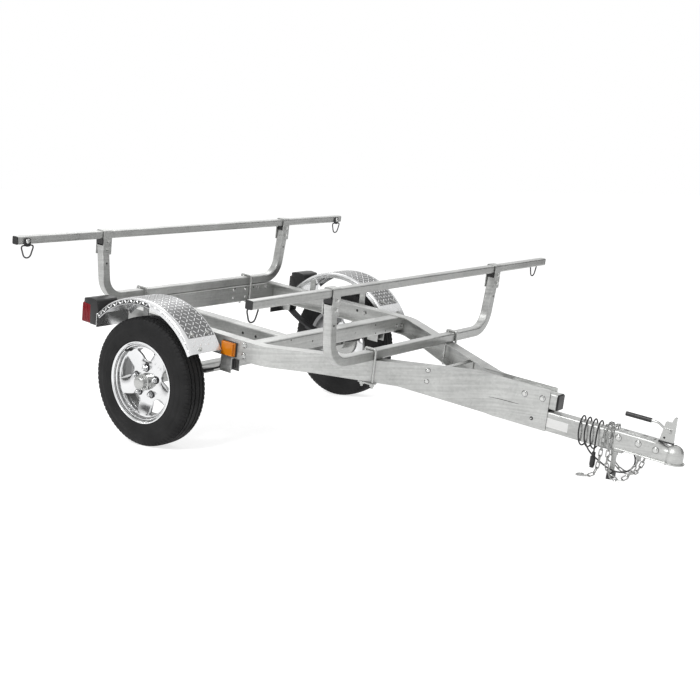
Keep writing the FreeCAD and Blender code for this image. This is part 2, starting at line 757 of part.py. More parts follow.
def load_bars():
    """Square load bars with a cap at each end, and the tie-down rings clipped near their ends."""
    rings = []
    for name, x in (("rear", "RearBarX"), ("front", "FrontBarX")):
        across = (f"{x} - BarSize / 2", f"{x} + BarSize / 2")
        upward = ("BarBottom", "BarBottom + BarSize")
        bar = new_body(f"{name}_load_bar")
        pad_both(bar, "XZ", "BarLength", *tube_loops(across, upward, "BarWall"))
        stand(f"{name}_load_bar", bar)
        cap = new_body(f"{name}_bar_cap")
        pad(cap, "XZ", "BarLength / 2", "CapThick", box_loop(across, upward, "TubeCorner + BarWall"))
        stand(f"{name}_bar_caps", gathered(f"{name}_bar_caps", cap, flipped(cap)))
        ring = tie_ring(name, f"{x} + BarSize / 2 + Seat")
        rings += [ring, flipped(ring)]
    stand("tie_down_rings", gathered("tie_down_rings", *rings))


def tie_ring(name, face):
    """A wire ring that hangs from a clip on a load bar's front face."""
    body = new_body(f"{name}_tie_ring")
    middle = f"{face} + ClipThick / 2"
    top = "BarBottom - RingWire - Seat"
    low = f"{top} - RingHeight"
    spine = drawn(body, "YZ", middle)
    start = "-RingY - ClipHalf / 2"
    line = [
        (start, top), ("-RingY - RingHalf", top, "RingCorner"), ("-RingY - RingFoot", low, "RingCorner"),
        ("-RingY + RingFoot", low, "RingCorner"), ("-RingY + RingHalf", top, "RingCorner"),
        ("-RingY + ClipHalf / 2", top),
    ]
    add_outline(spine, line, closed=False)
    piped(body, outlined(body, "XZ", "RingY + ClipHalf / 2", ((middle, top), "RingWire")), spine)
    clip = [
        ("-RingY - ClipHalf", f"{top} - RingWire * 2"), ("-RingY + ClipHalf", f"{top} - RingWire * 2"),
        ("-RingY + ClipHalf", f"{top} + ClipHeight / 2", "RingCorner"),
        ("-RingY", f"{top} + ClipHeight", "RingCorner"),
        ("-RingY - ClipHalf", f"{top} + ClipHeight / 2", "RingCorner"),
    ]
    pad(body, "YZ", face, "ClipThick", clip)
    return body


def saddles():
    """Folded straps over each load bar that hold it to the cradle's upper ends."""
    top = "BarBottom + BarSize + Seat"
    for name, x in (("rear", "RearBarX"), ("front", "FrontBarX")):
        out = "CradleHalf + Seat"
        body = new_body(f"{name}_saddle")
        far = f"{out} + SaddleWall"
        bend = "TubeCorner + SaddleWall"
        low = "CradleTopZ - SaddleDrop"
        loop = [
            (f"{x} - ({far})", low), (f"{x} - ({far})", f"{top} + SaddleWall", bend),
            (f"{x} + {far}", f"{top} + SaddleWall", bend), (f"{x} + {far}", low), (f"{x} + {out}", low),
            (f"{x} + {out}", top, "TubeCorner"), (f"{x} - ({out})", top, "TubeCorner"), (f"{x} - ({out})", low),
        ]
        pad(body, "XZ", "SaddleY - SaddleWidth / 2", "SaddleWidth", loop)
        stand(f"{name}_saddles", gathered(f"{name}_saddles", body, flipped(body)))


def hook_bolts():
    """The U-bolts that clamp both cradles to the frame, each with a plate and nuts below."""
    for name, x, y, reach, low in (
        ("rear", "RearBarX", "HookBoltY", "RearReach", "RearHookLow"),
        ("front", "FrontBarX", "FrontHookY", "FrontReach", "FrontHookLow"),
    ):
        body = new_body(f"{name}_hook_bolt")
        nut_low = f"{low} - HookPlate - NutHeight"
        foot = f"{nut_low} - BoltTail"
        spine = drawn(body, "XZ", y)
        legs = (f"{x} - {reach}", f"{x} + {reach}")
        bend = "BoltRadius * 1.2"
        line = [(legs[0], foot), (legs[0], "HookTop", bend), (legs[1], "HookTop", bend), (legs[1], foot)]
        add_outline(spine, line, closed=False)
        piped(body, outlined(body, "XY", foot, ((legs[0], f"-{y}"), "BoltRadius")), spine)
        across = (f"{legs[0]} - BoltRadius * 2", f"{legs[1]} + BoltRadius * 2")
        wide = (f"-{y} - HookPlateHalf", f"-{y} + HookPlateHalf")
        pad(body, "XY", f"{low} - HookPlate", "HookPlate", box_loop(across, wide))
        for leg in legs:
            pad(body, "XY", nut_low, "NutHeight", hexagon(leg, f"-{y}"))
        stand(f"{name}_hook_bolts", gathered(f"{name}_hook_bolts", body, flipped(body)))


def hexagon(u, v):
    """A nut's outline about a place."""
    half = "NutAcross * tan(30)"
    return [
        (f"{u} + {half} * 2", v), (f"{u} + {half}", f"{v} + NutAcross"), (f"{u} - {half}", f"{v} + NutAcross"),
        (f"{u} - {half} * 2", v), (f"{u} - {half}", f"{v} - NutAcross"), (f"{u} + {half}", f"{v} - NutAcross"),
    ]


def axle():
    """A square axle tube with a round spindle at each end and a seat for each spring."""
    tube = new_body("axle_tube")
    pad_both(tube, "XZ", "2 * AxleEnd",
             *tube_loops(("-AxleTube / 2", "AxleTube / 2"), ("AxleLow", "AxleTop"), "AxleWall"))
    spindle = rod("spindle", "Y", "SpindleRadius", ("0", "-SpindleEnd", "0"), "SpindleEnd - AxleEnd + AxleTube")
    seat = slab("spring_seat", ("-ClampHalf", "ClampHalf"), ("-SpringY - SpringHalf", "-SpringY + SpringHalf"),
                ("AxleTop", "AxleTop + SpringPad"))
    stand("axle_beam", fused("axle_beam", tube, spindle, flipped(spindle), seat, flipped(seat)))


def leaf(name, radius, low_x, high_x):
    """One bowed leaf: the part of a ring over the axle between two places along the trailer."""
    near = "-SpringY - SpringHalf"
    centre = ("SpringCentreX", near, "SpringCentreZ")
    outer = rod(f"{name}_outer", "Y", radius, centre, "SpringWidth")
    inner = rod(f"{name}_inner", "Y", f"{radius} - LeafThick", centre, "SpringWidth")
    window = slab(f"{name}_window", (low_x, high_x), (near, "-SpringY + SpringHalf"), ("AxleLow", "SpringCentreZ"))
    item = doc.addObject("Part::MultiCommon", name)
    item.Shapes = [less(f"{name}_ring", outer, inner), window]
    return item


def springs():
    """Bowed leaf springs over the axle, with their hangers under the rails and the clamp plates."""
    near = "-SpringY - SpringHalf"
    main = leaf("main_leaf", "SpringBow", "SpringRearX", "SpringFrontX")
    helper = leaf("helper_leaf", "SpringBow + LeafThick", "SpringCentreX - HelperHalf", "SpringCentreX + HelperHalf")
    front_eye = rod("front_eye", "Y", "SpringEye", ("SpringFrontX", near, "FrontEyeZ"), "SpringWidth")
    rear_eye = rod("rear_eye", "Y", "SpringEye", ("SpringRearX", near, "RearEyeZ"), "SpringWidth")
    block = slab("shackle_block", ("ShackleX", "SpringRearX"), (near, "-SpringY + SpringHalf"),
                 ("RearEyeZ - SpringEye", "RearEyeZ"))
    bar = slab("shackle_bar", ("ShackleX - ShackleThick", "ShackleX"), ("-ShackleOuterY", "-ShackleInnerY"),
               ("ShackleLow", "RearEyeZ"))
    pair("leaf_spring", fused("leaf_spring", main, helper, front_eye, rear_eye, block, bar))
    roof_y = ("-SpringY - HangerHalf - HangerWall", "-SpringY + HangerHalf + HangerWall")
    hangers = []
    for name, x, low in (
        ("front", ("HangerRearX", "HangerFrontX"), "HangerLow"),
        ("rear", ("SpringRearX - ShackleBoxHalf", "SpringRearX + ShackleBoxHalf"), "ShackleBoxLow"),
    ):
        top = "RailLow - Seat"
        body = new_body(f"{name}_hanger")
        pad(body, "YZ", x[0], f"{x[1]} - ({x[0]})", box_loop(roof_y, (low, top)))
        slot = slab(f"{name}_slot", (f"{x[0]} - HangerWall", f"{x[1]} + HangerWall"),
                    ("-SpringY - HangerHalf", "-SpringY + HangerHalf"), (f"{low} - HangerWall", f"{top} - HangerWall"))
        hangers.append(less(f"{name}_hanger_shell", body, slot))
    pair("spring_hangers", gathered("spring_hangers", *hangers))
    edge = "(SpringHalf + ClampEdge)"
    wide = (f"-SpringY - {edge}", f"-SpringY + {edge}")
    long = ("-ClampHalf", "ClampHalf")
    plate = slab("clamp_plate", long, wide, ("ClampLow - ClampPlate", "ClampLow"))
    cap = slab("clamp_cap", long, wide, ("ClampTop", "ClampTop + ClampPlate"))
    pieces = [plate, cap]
    leg_x = "AxleTube / 2 + ClampLeg + 2 * Seat"
    leg_y = "SpringHalf + ClampLeg + BallPlay"
    low = "ClampLow - ClampPlate - BoltTail"
    for dx in ("-", "+"):
        for dy in ("-", "+"):
            place = (f"0 {dx} ({leg_x})", f"-SpringY {dy} ({leg_y})", low)
            pieces.append(rod("clamp_leg", "Z", "ClampLeg", place, f"ClampTop + ClampPlate + BoltTail - ({low})"))
    pair("axle_clamp", fused("axle_clamp", *pieces))


def fenders():
    """Rolled sheet arches with turned lips, an upright plate at the rear and brackets to the rail."""
    near = ("-FenderOuterY", "-FenderInnerY")
    arch = new_body("fender_arch")
    bend = "FenderBend + FenderWall"
    lip = "FenderRadius - FenderLip"
    inside = ("-FenderOuterY + FenderWall", "-FenderInnerY - FenderWall")
    roof = "FenderRadius - FenderWall"
    section = [
        (near[0], lip), (near[0], "FenderRadius", bend), (near[1], "FenderRadius", bend), (near[1], lip),
        (inside[1], lip), (inside[1], roof, "FenderBend"), (inside[0], roof, "FenderBend"), (inside[0], lip),
    ]
    sketch = outlined(arch, "YZ", "0", section)
    item = feature(arch, "Revolution", sketch)
    item.ReferenceAxis = (sketch, ["H_Axis"])
    item.Type = "TwoAngles"
    bind(item, Angle="90 - FenderFrontAngle", Angle2="FenderRearAngle - 90")
    plate = slab("fender_plate", ("FenderRearX", "FenderRearX + FenderWall"), near,
                 ("FenderRearZ - FenderPlateDrop", "FenderRearZ + Seat"))
    pair("fender", fused("fender", arch, plate))
    near_rail = "-RailHalfWidth - Seat"
    inner = "-FenderInnerY + Seat"
    arms = []
    for side in ("-", "+"):
        x = (f"0 {side} BracketX - BracketWidth / 2", f"0 {side} BracketX + BracketWidth / 2")
        upright = slab("bracket_upright", x, (inner, f"{inner} + BracketWall"), ("BracketLow", "BracketTop"))
        foot = slab("bracket_foot", x, (inner, near_rail), ("BracketLow", "BracketLow + BracketWall"))
        tab = slab("bracket_tab", x, (f"{near_rail} - BracketWall", near_rail),
                   ("BracketLow - BracketTab", "BracketLow + BracketWall"))
        arms.append(fused("bracket", upright, foot, tab))
    pair("fender_brackets", gathered("fender_brackets", *arms))


def lamps():
    """Hooded tail lamps on the fenders' rear plates and amber side markers on the rails."""
    housing = new_body("tail_lamp")
    loop = [
        ("LampFront", "LampLow"), ("LampFront", "HoodFootZ"), ("HoodFrontX", "HoodFrontZ"), ("HoodTopX", "HoodTopZ"),
        ("HoodRearX", "HoodRearZ"), ("HoodRearX", "LampHigh + Seat"), ("LampRear", "LampHigh + Seat"),
        ("LampRear", "LampLow"),
    ]
    pad(housing, "XZ", "LampInnerY", "LampWidth", loop)
    pair("tail_lamp", housing)
    lens = new_body("tail_lens")
    wide = ("-LampOuterY + MarkerEdge", "-LampInnerY - MarkerEdge")
    start = "LampRear - Seat - LensDepth"
    pad(lens, "YZ", start, "LensDepth", box_loop(wide, ("LampLow", "LampHigh"), "LensCorner"))
    pair("tail_lens", lens)
    base = new_body("marker_base")
    edge = "MarkerEdge"
    flat = ("MarkerX - MarkerWidth / 2", "MarkerX + MarkerWidth / 2")
    tall = ("MarkerZ - MarkerHeight / 2", "MarkerZ + MarkerHeight / 2")
    wider = (f"{flat[0]} - {edge}", f"{flat[1]} + {edge}")
    taller = (f"{tall[0]} - {edge}", f"{tall[1]} + {edge}")
    pad(base, "XZ", "MarkerY", "MarkerBase", box_loop(wider, taller, "TubeCorner"))
    pair("marker_base", base)
    amber = new_body("marker_lens")
    front = "MarkerY + MarkerBase + Seat"
    pad(amber, "XZ", front, "MarkerDepth / 2", box_loop(flat, tall, "TubeCorner"))
    rise = "MarkerDepth / 3"
    top_u = (f"{flat[0]} + {rise}", f"{flat[1]} - {rise}")
    top_v = (f"{tall[0]} + {rise}", f"{tall[1]} - {rise}")
    pad(amber, "XZ", f"{front} + MarkerDepth / 2", "MarkerDepth / 2", box_loop(top_u, top_v, "TubeCorner"))
    pair("marker_lens", amber)


def coupler():
    """The pressed ball coupler: a ribbed channel over the tongue's end that grows into a round
    socket, with its latch and the latch's grip."""
    side = "CouplerHalf + CouplerWall"
    crown = "CouplerTop + CouplerWall"
    long = "CouplerBallX - CouplerRearX"
    channel = new_body("coupler_channel")
    bend = "BendRadius + CouplerWall / 2"
    loop = [(f"-({side})", "CouplerLow"), (f"-({side})", crown, bend), (side, crown, bend), (side, "CouplerLow")]
    pad(channel, "YZ", "CouplerRearX", long, loop)
    rib = box_loop(("-CouplerRibHalf", "CouplerRibHalf"), ("CouplerTop", f"{crown} + CouplerRib"), "CouplerRib")
    pad(channel, "YZ", "CouplerRearX + CouplerInset", f"{long} - CouplerInset", rib)
    skirt = f"{side} + CouplerFlange"
    flange = slab("coupler_flange", ("CouplerRearX + CouplerInset", "CouplerBallX"), (f"-({skirt})", skirt),
                  ("CouplerLow", "CouplerLow + CouplerWall"))
    centre = ("CouplerBallX", "0", "SocketZ")
    foot = ("CouplerBallX", "0", "CouplerLow")
    dome = ball("dome", "CupOuter", centre)
    collar = rod("collar", "Z", "CupOuter", foot, "SocketZ - CouplerLow")
    rim = rod("coupler_rim", "Z", "CupOuter + CouplerFlange", foot, "CouplerWall")
    shell = fused("coupler_shell", channel, flange, dome, collar, rim)
    past = "CouplerRearX - BallPlay"
    below = "CouplerLow - BallPlay"
    passage = slab("coupler_passage", (past, "CouplerBallX - CupInner + CupWall"), ("-PassHalf", "PassHalf"),
                   (below, "CouplerTop - BallPlay * 2"))
    seat = slab("coupler_seat", (past, "TongueEndX + BallPlay"), ("-CouplerHalf", "CouplerHalf"), (below, "CouplerTop"))
    cavity = ball("ball_cavity", "CupInner", centre)
    throat = rod("ball_throat", "Z", "CupInner", ("CouplerBallX", "0", below), "SocketZ - CouplerLow + BallPlay")
    stand("coupler", less("coupler", shell, passage, seat, cavity, throat))
    latch = new_body("coupler_latch")
    plates = [
        ("LatchRearX", "LatchFootZ"), ("LatchFrontX", "LatchFootZ"), ("LatchTipX", "LatchTipZ", "RodRadius"),
        ("LatchRearX + GripRadius * 4", "LatchShoulderZ", "RodRadius"),
        ("LatchRearX + GripRadius * 1.5", "LatchShoulderZ", "RodRadius"),
    ]
    pad_both(latch, "XZ", "2 * LatchHalf", plates)
    spine = drawn(latch, "XZ", "0")
    line = [
        ("GripFrontX - GripRadius * 2", "GripZ"), ("GripFrontX + GripRadius", "GripZ", "GripRadius * 3"),
        ("LatchRearX + GripRadius", "RodZ", "GripRadius * 3"), ("LatchFrontX - GripRadius", "RodZ"),
    ]
    add_outline(spine, line, closed=False)
    start = "GripFrontX - GripRadius * 2"
    piped(latch, outlined(latch, "YZ", start, (("0", "GripZ"), "RodRadius")), spine)
    stand("coupler_latch", latch)
    grip = new_body("latch_grip")
    pad(grip, "YZ", "GripRearX", f"{start} - Seat - GripRearX", (("0", "GripZ"), "GripRadius"))
    stand("latch_grip", grip)


def leg():
    """The flat leg under the tongue, with a rubber foot, that the parked trailer leans on."""
    strut = new_body("tongue_leg")
    plan = box_loop(("LegX - LegThick / 2", "LegX + LegThick / 2"), ("-LegWidth / 2", "LegWidth / 2"), "BendRadius")
    pad(strut, "XY", "LegFloorZ + LegFoot", "RailDeepZ - Seat - LegFloorZ - LegFoot", plan)
    stand("tongue_leg", strut)
    foot = new_body("leg_foot")
    loop = []
    for x in ("FootRearX", "FootFrontX"):
        loop.append((x, f"({x} * sin(Pitch) - TyreRadius) / cos(Pitch)"))
    loop += [("FootFrontX", "LegFloorZ + LegFoot - Seat"), ("FootRearX", "LegFloorZ + LegFoot - Seat")]
    pad_both(foot, "XZ", "LegWidth + FootMargin * 2", loop)
    stand("leg_foot", foot)


def across(offset):
    """A place across the trailer, given outward from the right-hand wheel's middle plane."""
    return f"-WheelCentreY - ({offset})"


def wheels():
    """Tyre, dished spoked rim, hub and nuts on each side."""
    tyre = new_body("tyre")
    bulge = "RimRadius + TyreSection * 0.16"
    waist = "RimRadius + TyreSection * 0.66"
    half = []
    for out, radius, rounding in (
        ("RimHalf - RimWall", "BeadRadius + Seat", None), ("RimHalf + TyreWall / 4", "RimRadius + RimWall", None),
        ("TyreWidth / 2", bulge, "TyreSection / 4"), ("TyreWidth / 2", waist, "TyreSection / 3"),
        ("TreadWidth / 2", "TyreRadius - TreadCrown", "TreadCrown * 3"), ("TreadWidth / 6", "TyreRadius", None),
    ):
        half.append((out, radius, rounding))
    loop = [(across(o), r) + ((k,) if k else ()) for o, r, k in half]
    loop += [(across(f"-({o})"), r) + ((k,) if k else ()) for o, r, k in reversed(half)]
    inner = "TyreWidth / 2 - TyreWall"
    carcass = [("RimHalf - TyreWall", "RimRadius"), (inner, bulge), (inner, waist),
               ("TreadWidth / 2 - TyreWall", "TyreRadius - TyreWall - TreadCrown")]
    hollow = [(across(o), r) for o, r in carcass] + [(across(f"-({o})"), r) for o, r in reversed(carcass)]
    turned(tyre, loop, hollow)
    pair("tyre", tyre)
    rim = new_body("rim")
    wall = "RimWall"
    seat = "RimHalf + TyreWall / 4 + Seat"
    top = "RimRadius - Seat"
    well_out = "DiscFace"
    well_in = "-(RimHalf - RimWell * 2)"
    band = [
        (f"{seat} + {wall}", f"{top} + {wall} / 2"), (seat, f"{top} + {wall} / 2"), (f"{seat}", top),
        ("RimHalf", "BeadRadius"), (f"{well_out} + RimWell", "BeadRadius"), (well_out, "WellRadius"),
        (well_in, "WellRadius"), (f"{well_in} - RimWell", "BeadRadius"), ("-RimHalf", "BeadRadius"),
        (f"-({seat})", top), (f"-({seat})", f"{top} + {wall} / 2"), (f"-({seat} + {wall})", f"{top} + {wall} / 2"),
        (f"-(RimHalf + {wall})", f"BeadRadius - {wall}"), (f"{well_in} - RimWell", f"BeadRadius - {wall}"),
        (f"{well_in} - {wall}", f"WellRadius - {wall}"), (f"{well_out} + {wall}", f"WellRadius - {wall}"),
        (f"{well_out} + RimWell + {wall}", f"BeadRadius - {wall}"), (f"RimHalf + {wall}", f"BeadRadius - {wall}"),
    ]
    turned(rim, [(across(o), r) for o, r in band])
    bore_radius = "HubRadius + Seat"
    turned(rim, [(across(o), r) for o, r in (
        ("DiscFace", bore_radius), ("DiscFace", "DiscRadius"), ("DiscBack", "DiscRadius"), ("DiscBack", bore_radius))])
    root = "DiscRadius - RimWell"
    reach = "WellRadius - RimWall / 2"
    spoke = pad(rim, "XZ", "WheelCentreY + DiscBack", "SpokeThick", [
        (f"{turn(root, '-', 'SpokeHubWidth')}", f"{rise(root, '-', 'SpokeHubWidth')}"),
        (f"{turn(reach, '-', 'SpokeRimWidth')}", f"{rise(reach, '-', 'SpokeRimWidth')}"),
        (f"{turn(reach, '+', 'SpokeRimWidth')}", f"{rise(reach, '+', 'SpokeRimWidth')}"),
        (f"{turn(root, '+', 'SpokeHubWidth')}", f"{rise(root, '+', 'SpokeHubWidth')}")])
    repeated(rim, spoke, "SpokeCount")
    pair("rim", rim)
    hub = new_body("hub")
    half_hub = "HubLength / 2"
    back = "DiscBack - Seat"
    profile = [
        (f"-({half_hub})", "HubBore"), (f"-({half_hub})", "HubRadius"), (f"{back} - HubFlangeThick", "HubRadius"),
        (f"{back} - HubFlangeThick", "HubFlangeRadius"), (back, "HubFlangeRadius"), (back, "HubRadius"),
        (half_hub, "HubRadius"), (half_hub, "CapRadius"), (f"{half_hub} + CapLength", "CapRadius", "CapDome"),
        (f"{half_hub} + CapLength", "0"), (half_hub, "0"), (half_hub, "HubBore"),
    ]
    turned(hub, [(across(c[0]),) + tuple(c[1:]) for c in profile])
    pair("hub", hub)
    nuts = new_body("lug_nuts")
    place = ("StudCircle * cos(SpokeStart + 180 / StudCount)", "StudCircle * sin(SpokeStart + 180 / StudCount)")
    start = "WheelCentreY + DiscFace + Seat"
    long = pad(nuts, "XZ", start, "NutLength", (place, "NutRadius"))
    tip = pad(nuts, "XZ", f"{start} + NutLength", "NutTip", (place, "NutRadius * 0.75"))
    pattern = repeated(nuts, long, "StudCount")
    pattern.Originals = [long, tip]
    pair("lug_nuts", nuts)


def turn(radius, side, width):
    """The forward place of a spoke's corner at a distance out and half a width to one side."""
    return f"({radius}) * cos(SpokeStart) {side} {width} / 2 * sin(SpokeStart)"


def rise(radius, side, width):
    """The height of the same corner."""
    other = "-" if side == "+" else "+"
    return f"({radius}) * sin(SpokeStart) {other} {width} / 2 * cos(SpokeStart)"


def coded(name, shape):
    """A piece whose shape follows a route and is worked out point by point."""
    item = doc.addObject("Part::Feature", name)
    item.Shape = shape
    return item


def route(points):
    """Straight runs joined by arcs that touch both runs, and the smallest arc's radius."""
    edges = []
    radii = []
    start = points[0]
    for before, corner, after in zip(points, points[1:], points[2:]):
        back = before - corner
        ahead = after - corner
        half = back.getAngle(ahead) / 2
        reach = 0.45 * min(back.Length, ahead.Length)
        radius = reach * math.tan(half)
        radii.append(radius)
        back.normalize()
        ahead.normalize()
        first = corner + back * reach
        last = corner + ahead * reach
        middle = corner + (back + ahead).normalize() * (radius / math.sin(half) - radius)
        edges.append(Part.LineSegment(start, first).toShape())
        edges.append(Part.Arc(first, middle, last).toShape())
        start = last
    edges.append(Part.LineSegment(start, points[-1]).toShape())
    return Part.Wire(edges), min(radii)


def bar_solid(points, normal, half, closed):
    """A square bar through points that lie in one plane, mitred at each of them."""
    count = len(points)
    rings = []
    for i, place in enumerate(points):
        before = points[i - 1] if closed or i else None
        after = points[(i + 1) % count] if closed or i < count - 1 else None
        runs = [(b - a).normalize() for a, b in ((before, place), (place, after)) if a is not None and b is not None]
        sides = [normal.cross(run) for run in runs]
        side = (sides[0] + sides[-1]).normalize()
        side = side * (half / side.dot(sides[0]))
        rings.append([place + side * a + normal * (half * b) for a, b in ((1, 1), (1, -1), (-1, -1), (-1, 1))])
    faces = []
    for i in range(count if closed else count - 1):
        one, two = rings[i], rings[(i + 1) % count]
        for k in range(4):
            corners = [one[k], one[(k + 1) % 4], two[(k + 1) % 4], two[k]]
            faces.append(Part.Face(Part.makePolygon(corners + corners[:1])))
    if not closed:
        faces += [Part.Face(Part.makePolygon(ring + ring[:1])) for ring in (rings[0], rings[-1])]
    solid = Part.Solid(Part.Shell(faces))
    if solid.Volume < 0:
        solid.reverse()
    return solid


def link_solid(centre, along, flat):
    """One chain link: a long ring about a centre, lying in the plane whose normal is given."""
    wire = value("ChainWire")
    long = (value("ChainInner") + wire) / 2
    wide = (value("ChainGap") + wire) / 2
    side = flat.cross(along)
    nose = wide * LINK_NOSE
    neck = long - wide + nose
    outline = ((long, -nose), (long, nose), (neck, wide), (-neck, wide), (-long, nose), (-long, -nose),
               (-neck, -wide), (neck, -wide))
    return bar_solid([centre + along * a + side * b for a, b in outline], flat, wire / 2, True)


def walk(points, step):
    """Places at equal straight distances along a run of points."""
    fine = []
    for start, end in zip(points, points[1:]):
        count = max(2, int(start.distanceToPoint(end) * 4))
        fine += [start + (end - start) * (n / count) for n in range(count)]
    fine.append(points[-1])
    found = [fine[0]]
    for place in fine:
        if place.distanceToPoint(found[-1]) >= step:
            found.append(place)
    return found


def floor_z(x, lift):
    """The height, in the level trailer, that is a lift above the floor the trailer stands on."""
    pitch = math.radians(value("Pitch"))
    return (x * math.sin(pitch) - value("TyreRadius") + lift) / math.cos(pitch)


def chain(name, points, lie):
    """A safety chain: an anchor tab under the coupler, links along a route, and an open hook."""
    wire = value("ChainWire")
    step = value("ChainInner") - value("ChainPlay")
    joints = walk(points, step)
    links = []
    flat = V(1, 0, 0)
    for start, end in zip(joints, joints[1:]):
        along = (end - start).normalize()
        flat = (flat - along * flat.dot(along)).normalize()
        links.append(link_solid((start + end) / 2, along, flat))
        flat = along.cross(flat)
    last = joints[-1]
    along = lie[0].normalize()
    flat = lie[1].normalize()
    eye = link_solid(last + along * (step / 2), along, flat)
    side = flat.cross(along)
    reach = step / 2 + (value("ChainInner") + wire) / 2
    long = value("HookLength")
    wide = value("HookWidth")
    places = [last + along * (reach + long * a) + side * (wide * b) for a, b in HOOK_SHAPE]
    hook = eye.fuse(bar_solid(places, flat, wire * HOOK_BAR, False)).removeSplitter()
    top = value("CouplerLow") - value("Seat")
    tab_y = points[0].y
    tab = Part.makeBox(2 * wire, wire, value("AnchorDrop"),
                       V(points[0].x - wire, tab_y - wire / 2, top - value("AnchorDrop")))
    solids = [tab] + links + hook.Solids
    stand(name, coded(name, Part.makeCompound(solids)))
    print(name, len(links), "links")


def chains():
    """The two crossed safety chains, each hung over the tongue with its hook near the floor."""
    wire = value("ChainWire")
    lie_low = value("ChainGap / 2 + ChainWire + LinkClear")
    beside = value("TongueWidth / 2 + ChainBeside") + lie_low
    above = value("TongueTop + ChainAbove") + lie_low
    turn_over = value("ChainTurn")
    start_x = value("AnchorX")
    start_y = value("AnchorY")
    start_z = value("CouplerLow - AnchorDrop - 3 * Seat") - wire
    for name, side, cross_x, slack, tail in (
        ("right", -1, value("NearCrossX"), value("RightSlack"), RIGHT_TAIL),
        ("left", 1, value("FarCrossX"), value("LeftSlack"), LEFT_TAIL),
    ):
        points = [V(start_x, side * start_y, start_z)]
        for x, y, lift in CHAIN_FALL:
            out = slack if y is None else y
            points.append(V(start_x + x, side * (start_y + out), floor_z(start_x + x, lie_low + lift)))
        for x, y, lift in CHAIN_CLIMB:
            points.append(V(cross_x + x, side * (beside + slack + y), floor_z(cross_x + x, lie_low + lift)))
        points.append(V(cross_x, side * beside, above - value("ChainRise")))
        points.append(V(cross_x, side * beside, above - turn_over))
        points.append(V(cross_x, side * (beside - turn_over), above))
        points.append(V(cross_x, -side * (beside - turn_over), above))
        points.append(V(cross_x, -side * beside, above - turn_over))
        for x, y, z in tail:
            height = floor_z(cross_x + x, lie_low) if z is None else z
            points.append(V(cross_x + x, -side * (beside + y), height))
        on_floor = tail[-1][2] is None
        slope = math.tan(math.radians(value("Pitch")))
        lie = (V(-1, 0, -slope - 0.12), V(0.12, 0, -1)) if on_floor else (V(0, 0, -1), V(0, 1, 0))
        lie[1].normalize()
        lie = (lie[0], lie[1] - lie[0] * (lie[1].dot(lie[0]) / lie[0].dot(lie[0])))
        chain(f"safety_chain_{name}", points, lie)


def harness():
    """The wiring cord and its plug: out of the tongue tube's end, down in a slack bight, back
    under the tongue, in loose turns round it, and down to the plug."""
    wire = value("CordRadius")
    high = value("LoopHalfHeight")
    wide = value("LoopHalfWidth")
    centre_z = value("TongueTop - TongueHeight / 2")
    end_x = value("TongueEndX")
    points = [V(end_x + x, y, z) for x, y, z in CORD_ROUTE]
    steps = int(value("LoopSteps"))
    first = value("LoopRearX")
    pitch = value("LoopPitch")
    count = int(steps * value("LoopTurns")) + 2
    for n in range(1, count + 1):
        angle = 2 * math.pi * (n + 1) / steps
        points.append(V(first + pitch * n / steps, wide * math.sin(angle), centre_z - high * math.cos(angle)))
    last = points[-1]
    points += [last + V(*step) for step in CORD_TAIL]
    path, radius = route(points)
    along = points[1] - points[0]
    profile = Part.Wire([Part.Circle(points[0], along, wire).toShape()])
    stand("wiring_harness", coded("wiring_harness", path.makePipeShell([profile], True, True)))
    foot = points[-1]
    plug = new_body("harness_plug")
    length = value("PlugLength")
    gap = value("Seat")
    for top, long, size in PLUG_PARTS:
        start = foot.z - gap - length * (top + long)
        pad(plug, "XY", f"{start}", f"PlugLength * {long}", ((f"{foot.x}", f"{foot.y}"), f"PlugRadius * {size}"))
    stand("harness_plug", plug)
    print("cord radius", round(radius, 1), "length", round(path.Length))


def build():
    rails()
    cross_members()
    tongue()
    cradles()
    load_bars()
    saddles()
    hook_bolts()
    axle()
    springs()
    fenders()
    lamps()
    coupler()
    leg()
    chains()
    harness()
    wheels()


build()
doc.recompute()
box = FreeCAD.BoundBox()
for part in NODES:
    box.add(part.Shape.BoundBox)
sheet.set(f"B{[alias for alias, number in SIZES].index('Middle') + 1}", str((box.XMin + box.XMax) / 2))
doc.recompute()
for item in doc.Objects:
    if "Invalid" in item.State or "Error" in item.State:
        raise RuntimeError(f"{item.Label} did not build: {item.State}")
os.makedirs("parts", exist_ok=True)
for part in NODES:
    if part.Shape.isNull() or not part.Shape.isValid():
        raise RuntimeError(f"{part.Label} has no valid shape")
    part.Shape.exportStep(f"parts/{part.Label}.step")
    print(part.Label, len(part.Shape.Solids), round(part.Shape.Volume), part.Shape.BoundBox)
print("middle", value("Middle"))
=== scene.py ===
"""Looks of a light galvanised boat trailer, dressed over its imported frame."""

import json
import math

import bmesh
import bpy
from bpy.props import FloatProperty, FloatVectorProperty, IntProperty, PointerProperty
from mathutils import Matrix, Vector


